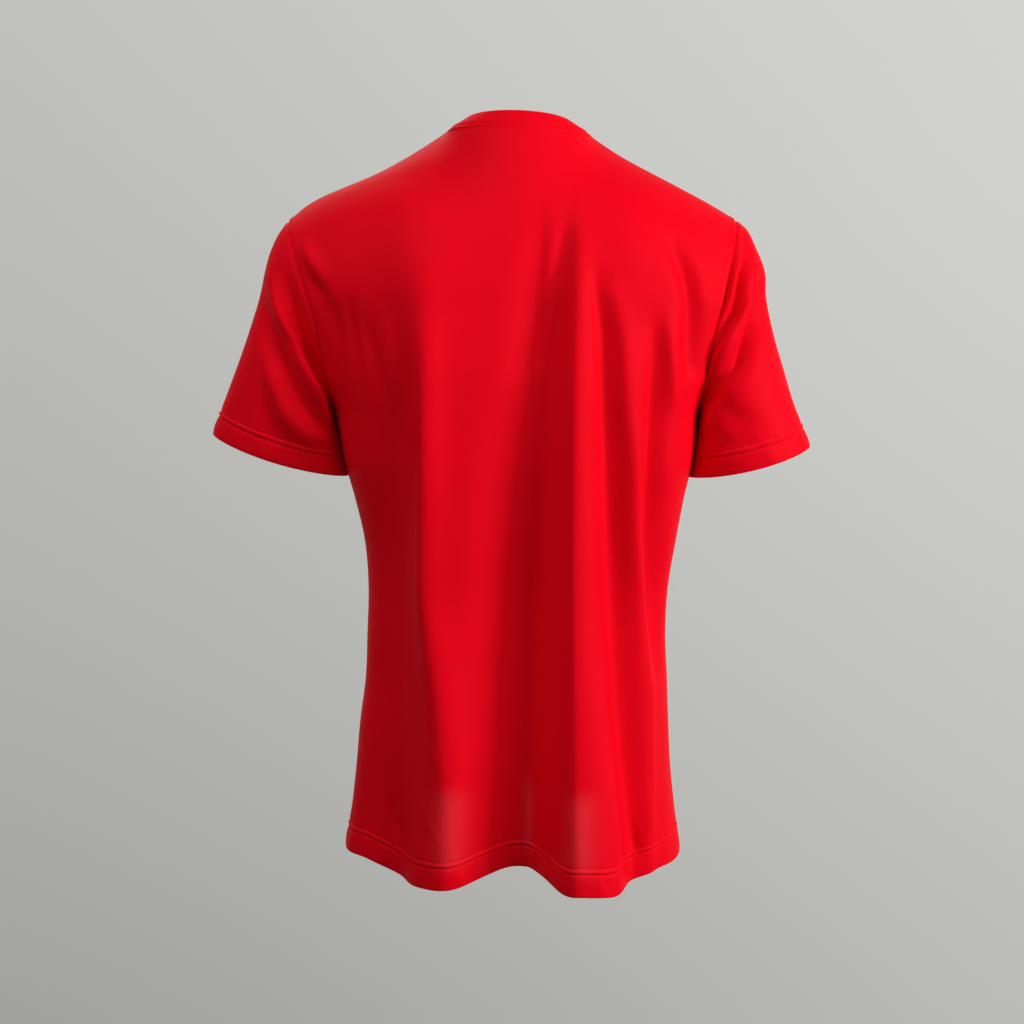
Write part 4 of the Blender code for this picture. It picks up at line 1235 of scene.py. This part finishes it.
RED = (0.88, 0.0016, 0.0130, 1.0)
# A deeper red: painted shade in the knit's holes and along the thread's twist, and the knit's
# random tone.
DEEP_RED = (0.70, 0.0008, 0.0080, 1.0)
THREAD_RED = (0.90, 0.0030, 0.0180, 1.0)
# The pale red of the painted light that shows through near the back's hem.
PAINTED_LIGHT_RED = (1.0, 0.16, 0.20, 1.0)
# Patches of painted light near the back's hem, where light shows through the cloth: middle, spread
# and strength.
SHOW_THROUGH = ((0.0640, 0.0150, 0.12), (-0.0120, 0.0050, 0.10), (-0.0620, 0.0130, 0.12))
# How they fade in: the axis, where there is none of them and where there is all.
SHOW_THROUGH_FADES = (("Z", -0.618, -0.646), ("Z", -0.716, -0.690), ("Y", 0.02, 0.05))


def add_node(tree, kind, **settings):
    node = tree.nodes.new(kind)
    for name, value in settings.items():
        setattr(node, name, value)
    return node


def sum_node(tree, operation, first, second=None):
    """A Math node: each of its terms is a number or another node's output."""
    node = add_node(tree, "ShaderNodeMath", operation=operation)
    for socket, term in zip(node.inputs, (first, second)):
        if isinstance(term, (int, float)):
            socket.default_value = term
        elif term is not None:
            tree.links.new(term, socket)
    return node.outputs[0]


def birdseye_group():
    """Birdseye knit: rows of small raised loops, each row set half a loop over from the last."""
    tree = bpy.data.node_groups.new("birdseye_knit", "ShaderNodeTree")
    tree.interface.new_socket("Map", in_out="INPUT", socket_type="NodeSocketVector")
    for name, value in (("Loop Width", 0.0011), ("Loop Height", 0.0009)):
        socket = tree.interface.new_socket(name, in_out="INPUT", socket_type="NodeSocketFloat")
        socket.default_value = value
    tree.interface.new_socket("Height", in_out="OUTPUT", socket_type="NodeSocketFloat")
    tree.interface.new_socket("Painted See Through", in_out="OUTPUT", socket_type="NodeSocketFloat")
    entry, out = add_node(tree, "NodeGroupInput"), add_node(tree, "NodeGroupOutput")
    parts = add_node(tree, "ShaderNodeSeparateXYZ")
    tree.links.new(entry.outputs["Map"], parts.inputs[0])
    across = sum_node(tree, "DIVIDE", parts.outputs["X"], entry.outputs["Loop Width"])
    along = sum_node(tree, "DIVIDE", parts.outputs["Y"], entry.outputs["Loop Height"])
    wave_across = sum_node(tree, "COSINE", sum_node(tree, "MULTIPLY", across, pi))
    wave_along = sum_node(tree, "COSINE", sum_node(tree, "MULTIPLY", along, pi))
    loops = sum_node(tree, "MULTIPLY", wave_across, wave_along)
    rib = sum_node(tree, "COSINE", sum_node(tree, "MULTIPLY", across, 4 * pi))
    height = sum_node(tree, "ADD", loops, sum_node(tree, "MULTIPLY", rib, 0.25))
    tree.links.new(sum_node(tree, "MULTIPLY_ADD", height, 0.4), out.inputs["Height"])
    # The holes between the loops, where painted shade darkens the knit.
    holes = sum_node(tree, "SMOOTH_MAX", sum_node(tree, "MULTIPLY", loops, -1.0), 0.0)
    tree.links.new(holes, out.inputs["Painted See Through"])
    return tree


def show_through_group():
    """Painted light where the back hangs clear near its hem and the light behind it shows faintly
    through.
    """
    tree = bpy.data.node_groups.new("light_through_knit", "ShaderNodeTree")
    tree.interface.new_socket("Place", in_out="INPUT", socket_type="NodeSocketVector")
    tree.interface.new_socket("Painted See Through", in_out="OUTPUT", socket_type="NodeSocketFloat")
    entry, out = add_node(tree, "NodeGroupInput"), add_node(tree, "NodeGroupOutput")
    parts = add_node(tree, "ShaderNodeSeparateXYZ")
    tree.links.new(entry.outputs["Place"], parts.inputs[0])
    total = 0.0
    for middle, spread, strength in SHOW_THROUGH:
        off = sum_node(tree, "ADD", parts.outputs["X"], -middle)
        off = sum_node(tree, "DIVIDE", off, spread)
        falling = sum_node(tree, "MULTIPLY", sum_node(tree, "MULTIPLY", off, off), -1.0)
        patch = sum_node(tree, "MULTIPLY", sum_node(tree, "EXPONENT", falling), strength)
        total = sum_node(tree, "ADD", patch, total)
    for axis, none, full in SHOW_THROUGH_FADES:
        within = add_node(tree, "ShaderNodeMapRange", interpolation_type="SMOOTHSTEP")
        within.inputs["From Min"].default_value = none
        within.inputs["From Max"].default_value = full
        tree.links.new(parts.outputs[axis], within.inputs["Value"])
        total = sum_node(tree, "MULTIPLY", total, within.outputs[0])
    tree.links.new(total, out.inputs["Painted See Through"])
    return tree


def show_through(material, group):
    """Adds the light that shows through near the hem to a knit's colour."""
    tree = material.node_tree
    shader = tree.nodes["Principled BSDF"]
    knit_colour = shader.inputs["Base Color"].links[0].from_socket
    place = add_node(tree, "ShaderNodeTexCoord")
    patches = add_node(tree, "ShaderNodeGroup", node_tree=group)
    tree.links.new(place.outputs["Object"], patches.inputs["Place"])
    # Painted light: pale red mixed into the knit's colour where the patches lie.
    mix = add_node(tree, "ShaderNodeMix", data_type="RGBA")
    tree.links.new(patches.outputs["Painted See Through"], mix.inputs["Factor"])
    tree.links.new(knit_colour, mix.inputs["A"])
    mix.inputs["B"].default_value = PAINTED_LIGHT_RED
    tree.links.new(mix.outputs["Result"], shader.inputs["Base Color"])


def knit_material(name, group, colour, deep, roughness, loop_width, loop_height):
    material = bpy.data.materials.new(name)
    material.use_nodes = True
    tree = material.node_tree
    shader = tree.nodes["Principled BSDF"]
    place = add_node(tree, "ShaderNodeTexCoord")
    knit = add_node(tree, "ShaderNodeGroup", node_tree=group)
    knit.inputs["Loop Width"].default_value = loop_width
    knit.inputs["Loop Height"].default_value = loop_height
    tree.links.new(place.outputs["UV"], knit.inputs["Map"])

    drift = add_node(tree, "ShaderNodeTexNoise")
    drift.inputs["Scale"].default_value = 9.0
    drift.inputs["Detail"].default_value = 1.0
    tree.links.new(place.outputs["Object"], drift.inputs["Vector"])
    yarn = add_node(tree, "ShaderNodeTexNoise")
    yarn.inputs["Scale"].default_value = 900.0
    yarn.inputs["Detail"].default_value = 0.0
    tree.links.new(place.outputs["Object"], yarn.inputs["Vector"])

    # Painted shade in the knit's holes, plus random tone from two noises, mixes the colour toward
    # the deeper red.
    painted_shade_and_tone = sum_node(tree, "MULTIPLY", knit.outputs["Painted See Through"], 0.55)
    painted_shade_and_tone = sum_node(tree, "ADD", painted_shade_and_tone, sum_node(tree, "MULTIPLY", drift.outputs[0], 0.25))
    painted_shade_and_tone = sum_node(tree, "ADD", painted_shade_and_tone, sum_node(tree, "MULTIPLY", yarn.outputs[0], 0.25))
    mix = add_node(tree, "ShaderNodeMix", data_type="RGBA")
    mix.inputs["A"].default_value = colour
    mix.inputs["B"].default_value = deep
    tree.links.new(painted_shade_and_tone, mix.inputs["Factor"])
    tree.links.new(mix.outputs["Result"], shader.inputs["Base Color"])
    rough = sum_node(tree, "MULTIPLY_ADD", drift.outputs[0], 0.10)
    tree.links.new(rough, shader.inputs["Roughness"])
    rough.node.inputs[2].default_value = roughness - 0.05

    yarn_height = sum_node(tree, "MULTIPLY", yarn.outputs[0], 0.5)
    height = sum_node(tree, "ADD", knit.outputs["Height"], yarn_height)
    relief = add_node(tree, "ShaderNodeBump")
    relief.inputs["Distance"].default_value = 0.00012
    relief.inputs["Strength"].default_value = 0.7
    tree.links.new(height, relief.inputs["Height"])
    tree.links.new(relief.outputs["Normal"], shader.inputs["Normal"])
    shader.inputs["Specular IOR Level"].default_value = 0.02
    return material


def thread_material():
    material = bpy.data.materials.new("polyester_thread")
    material.use_nodes = True
    tree = material.node_tree
    shader = tree.nodes["Principled BSDF"]
    place = add_node(tree, "ShaderNodeTexCoord")
    # Painted shade: diagonal bands of deeper red along the grooves of the thread's twist.
    painted_twist_shade = add_node(tree, "ShaderNodeTexWave", wave_type="BANDS", bands_direction="DIAGONAL")
    painted_twist_shade.inputs["Scale"].default_value = 700.0
    tree.links.new(place.outputs["Object"], painted_twist_shade.inputs["Vector"])
    mix = add_node(tree, "ShaderNodeMix", data_type="RGBA")
    mix.inputs["A"].default_value = THREAD_RED
    mix.inputs["B"].default_value = DEEP_RED
    tree.links.new(painted_twist_shade.outputs["Fac"], mix.inputs["Factor"])
    tree.links.new(mix.outputs["Result"], shader.inputs["Base Color"])
    shader.inputs["Roughness"].default_value = 0.45
    return material


# ---------------------------------------------------------------- the jersey


def grids():
    """Every piece's dressed surface and its normals, seams still touching."""
    back, front = body_panel(True), body_panel(False)
    surfaces = {
        "back_panel": back,
        "front_panel": front[:, ::-1],
        "sleeve_left": sleeve("left", armhole("left", back, front)),
        "sleeve_right": sleeve("right", armhole("right", back, front)),
        "neck_band": neck_band(),
    }
    normals = share_normals(surfaces)
    for name, folds in FOLDS.items():
        fade = FOLD_FADE["panel" if name.endswith("panel") else "sleeve"]
        surfaces[name] = folded(surfaces[name], normals[name], *folds, SEAMS[name], fade)
    front_share = near_sides(surfaces["front_panel"], SIDE_LIFT_REACH)
    surfaces["back_panel"] = hem_lifted(surfaces["back_panel"], 1)
    surfaces["front_panel"] = hem_lifted(surfaces["front_panel"], front_share)
    normals = share_normals(surfaces)
    return {name: dressed(name, surface, normals[name]) for name, surface in surfaces.items()}


# Where the turned-up cloth has its rows of points, from its fold.
HEM_TURN_STEPS = (0.0004, 0.003, 0.007, 0.011, 0.015)
BAND_TURN_STEPS = (0.0005, 0.003, 0.007, 0.011, 0.0145)
# The seams whose spare cloth lies inside each piece.
ALLOWANCES = {
    "back_panel": BODY_SEAMS,
    "front_panel": ("neck",),
    "sleeve_left": ("last_row",),
    "sleeve_right": ("last_row",),
}


def panel_or_sleeve(name, surface, normals, cloth, thread):
    """A hemmed piece's cloth, and the spare cloth and stitching that belong to it."""
    closed = CLOSED[name]
    if name.startswith("sleeve"):
        surface, normals = surface[::-1], normals[::-1]
    needles = HEM_NEEDLES if name.endswith("panel") else CUFF_NEEDLES
    steps = (*HEM_TURN_STEPS, needles[0], sum(needles) / 2)
    grid = turned_up(surface, normals, FOLD_RADIUS, steps)
    if name.startswith("sleeve"):
        grid = grid[::-1]
    piece = cloth_shell(name + "_cloth", grid, closed, cloth)
    sewing, extras = coverstitch(surface, normals, needles, closed), []
    for edge in ALLOWANCES[name]:
        part, facing = surface, normals
        if edge == "neck":
            edge, columns = "last_row", np.flatnonzero(on_neck(surface)[0])
            part, facing = surface[:, columns], normals[:, columns]
        label = name + "_allowance_" + edge
        spare, thread_run = allowance(label, part, facing, edge, closed, cloth)
        extras.append(spare)
        sewing.append(thread_run)
    runs = (np.concatenate(parts) for parts in zip(*sewing))
    extras.append(sewn(name + "_stitching", *runs, thread, THREAD * 0.8))
    return piece, extras


def make_jersey():
    group = birdseye_group()
    body_knit = knit_material("jersey_knit_red", group, RED, DEEP_RED, 0.52, 0.0011, 0.0009)
    band_knit = knit_material("band_knit_red", group, RED, DEEP_RED, 0.56, 0.0009, 0.0007)
    show_through(body_knit, show_through_group())
    thread = thread_material()
    surfaces = grids()
    normals = share_normals(surfaces)
    for name, surface in surfaces.items():
        if name == "neck_band":
            flipped = surface[::-1], normals[name][::-1]
            grid = turned_up(*flipped, BAND_FOLD, BAND_TURN_STEPS)[::-1]
            piece, extras = cloth_shell("neck_band_cloth", grid, True, band_knit), []
        else:
            piece, extras = panel_or_sleeve(name, surface, normals[name], body_knit, thread)
        for extra in extras:
            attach(extra, "root")
        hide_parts(name)
        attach(piece, "root")


# ---------------------------------------------------------------- studio

CAMERA_PLACE = (0.004, 1.4, -0.2017)
CAMERA_DROP = atan(175 / 1400)
LENS = 36 * 1400 / 1024
STUDIO_RADIUS = 4.2
FLOOR_HEIGHT = -4.60
WALL_HEIGHT = 9.0
FLOOR_SWEEP = 1.4
# The studio paint's own glow, painted light: its strength, and how it changes across X and up Z.
WALL_GLOW = 0.44
WALL_GLOW_ACROSS = -0.036
WALL_GLOW_UP = 0.042


def pale_material():
    """Pale paint whose own glow is painted light, brighter behind the jersey and a little more to
    one side and toward the top.
    """
    material = bpy.data.materials.new("pale_studio_paint")
    material.use_nodes = True
    tree = material.node_tree
    shader = tree.nodes["Principled BSDF"]
    shader.inputs["Base Color"].default_value = (0.30, 0.30, 0.29, 1.0)
    shader.inputs["Roughness"].default_value = 0.9
    place = add_node(tree, "ShaderNodeTexCoord")
    parts = add_node(tree, "ShaderNodeSeparateXYZ")
    tree.links.new(place.outputs["Object"], parts.inputs[0])
    # Painted light: the wall's glow, stronger behind the jersey, toward -X and higher up.
    glow = sum_node(tree, "MULTIPLY_ADD", parts.outputs["X"], WALL_GLOW_ACROSS)
    glow.node.inputs[2].default_value = WALL_GLOW
    rise = sum_node(tree, "MULTIPLY", parts.outputs["Z"], WALL_GLOW_UP)
    glow = sum_node(tree, "ADD", glow, rise)
    behind = add_node(tree, "ShaderNodeMapRange", interpolation_type="SMOOTHSTEP")
    behind.inputs["From Min"].default_value = -1.2
    behind.inputs["From Max"].default_value = -3.4
    behind.inputs["To Min"].default_value = 0.09
    tree.links.new(parts.outputs["Y"], behind.inputs["Value"])
    glow = sum_node(tree, "MULTIPLY", glow, behind.outputs[0])
    tree.links.new(glow, shader.inputs["Emission Strength"])
    shader.inputs["Emission Color"].default_value = (0.985, 1.0, 0.955, 1.0)
    material.cycles.emission_sampling = "NONE"
    return material


def studio():
    """A pale floor that sweeps up into a round wall."""
    deselect()
    middle = (0, 0, FLOOR_HEIGHT + WALL_HEIGHT / 2)
    bpy.ops.mesh.primitive_cylinder_add(
        vertices=96, radius=STUDIO_RADIUS, depth=WALL_HEIGHT, location=middle
    )
    bowl = bpy.context.object
    bowl.name = "studio_floor"
    shape = bmesh.new()
    shape.from_mesh(bowl.data)
    lid = [face for face in shape.faces if face.normal.z > 0.9]
    bmesh.ops.delete(shape, geom=lid, context="FACES_ONLY")
    foot = [edge for edge in shape.edges if all(vertex.co.z < 0 for vertex in edge.verts)]
    bmesh.ops.bevel(shape, geom=foot, offset=FLOOR_SWEEP, segments=16, affect="EDGES", profile=0.5)
    bmesh.ops.reverse_faces(shape, faces=shape.faces)
    shape.to_mesh(bowl.data)
    shape.free()
    bowl.data.shade_smooth()
    bowl.data.materials.append(pale_material())


def area_light(name, place, target, size, power, colour):
    light = bpy.data.lights.new(name, "AREA")
    light.shape = "RECTANGLE"
    light.size, light.size_y = size
    light.energy = power
    light.color = colour
    lamp = bpy.data.objects.new(name, light)
    lamp.location = place
    lamp.rotation_euler = (Vector(target) - Vector(place)).to_track_quat("-Z", "Y").to_euler()
    bpy.context.scene.collection.objects.link(lamp)


def lights():
    chest = (0, 0, -0.35)
    area_light("window", (-2.2, 0.87, -0.05), chest, (0.8, 1.2), 40, (1.0, 0.985, 0.96))
    area_light("second_window", (-1.6, 1.6, 0.6), chest, (0.9, 0.9), 18, (1.0, 0.985, 0.96))
    area_light("ceiling", (0.6, 1.4, 2.0), chest, (1.6, 1.2), 26, (1.0, 0.99, 0.97))
    area_light("fill", (1.6, 1.0, 1.2), chest, (1.2, 1.2), 9.5, (1.0, 0.99, 0.98))
    area_light("front_fill", (0.9, -2.2, 1.7), chest, (1.6, 1.2), 16, (1.0, 0.99, 0.98))
    world = bpy.data.worlds.new("studio_air")
    world.use_nodes = True
    backdrop = world.node_tree.nodes["Background"]
    backdrop.inputs["Color"].default_value = (0.95, 0.97, 1.0, 1.0)
    backdrop.inputs["Strength"].default_value = 0.02
    bpy.context.scene.world = world
    bpy.context.scene.view_settings.view_transform = "Standard"


def camera():
    lens = bpy.data.cameras.new("camera")
    lens.lens = LENS
    lens.sensor_width = 36
    eye = bpy.data.objects.new("camera", lens)
    eye.location = CAMERA_PLACE
    eye.rotation_euler = (pi / 2 - CAMERA_DROP, 0, pi)
    bpy.context.scene.collection.objects.link(eye)
    bpy.context.scene.camera = eye


make_jersey()
studio()
lights()
camera()
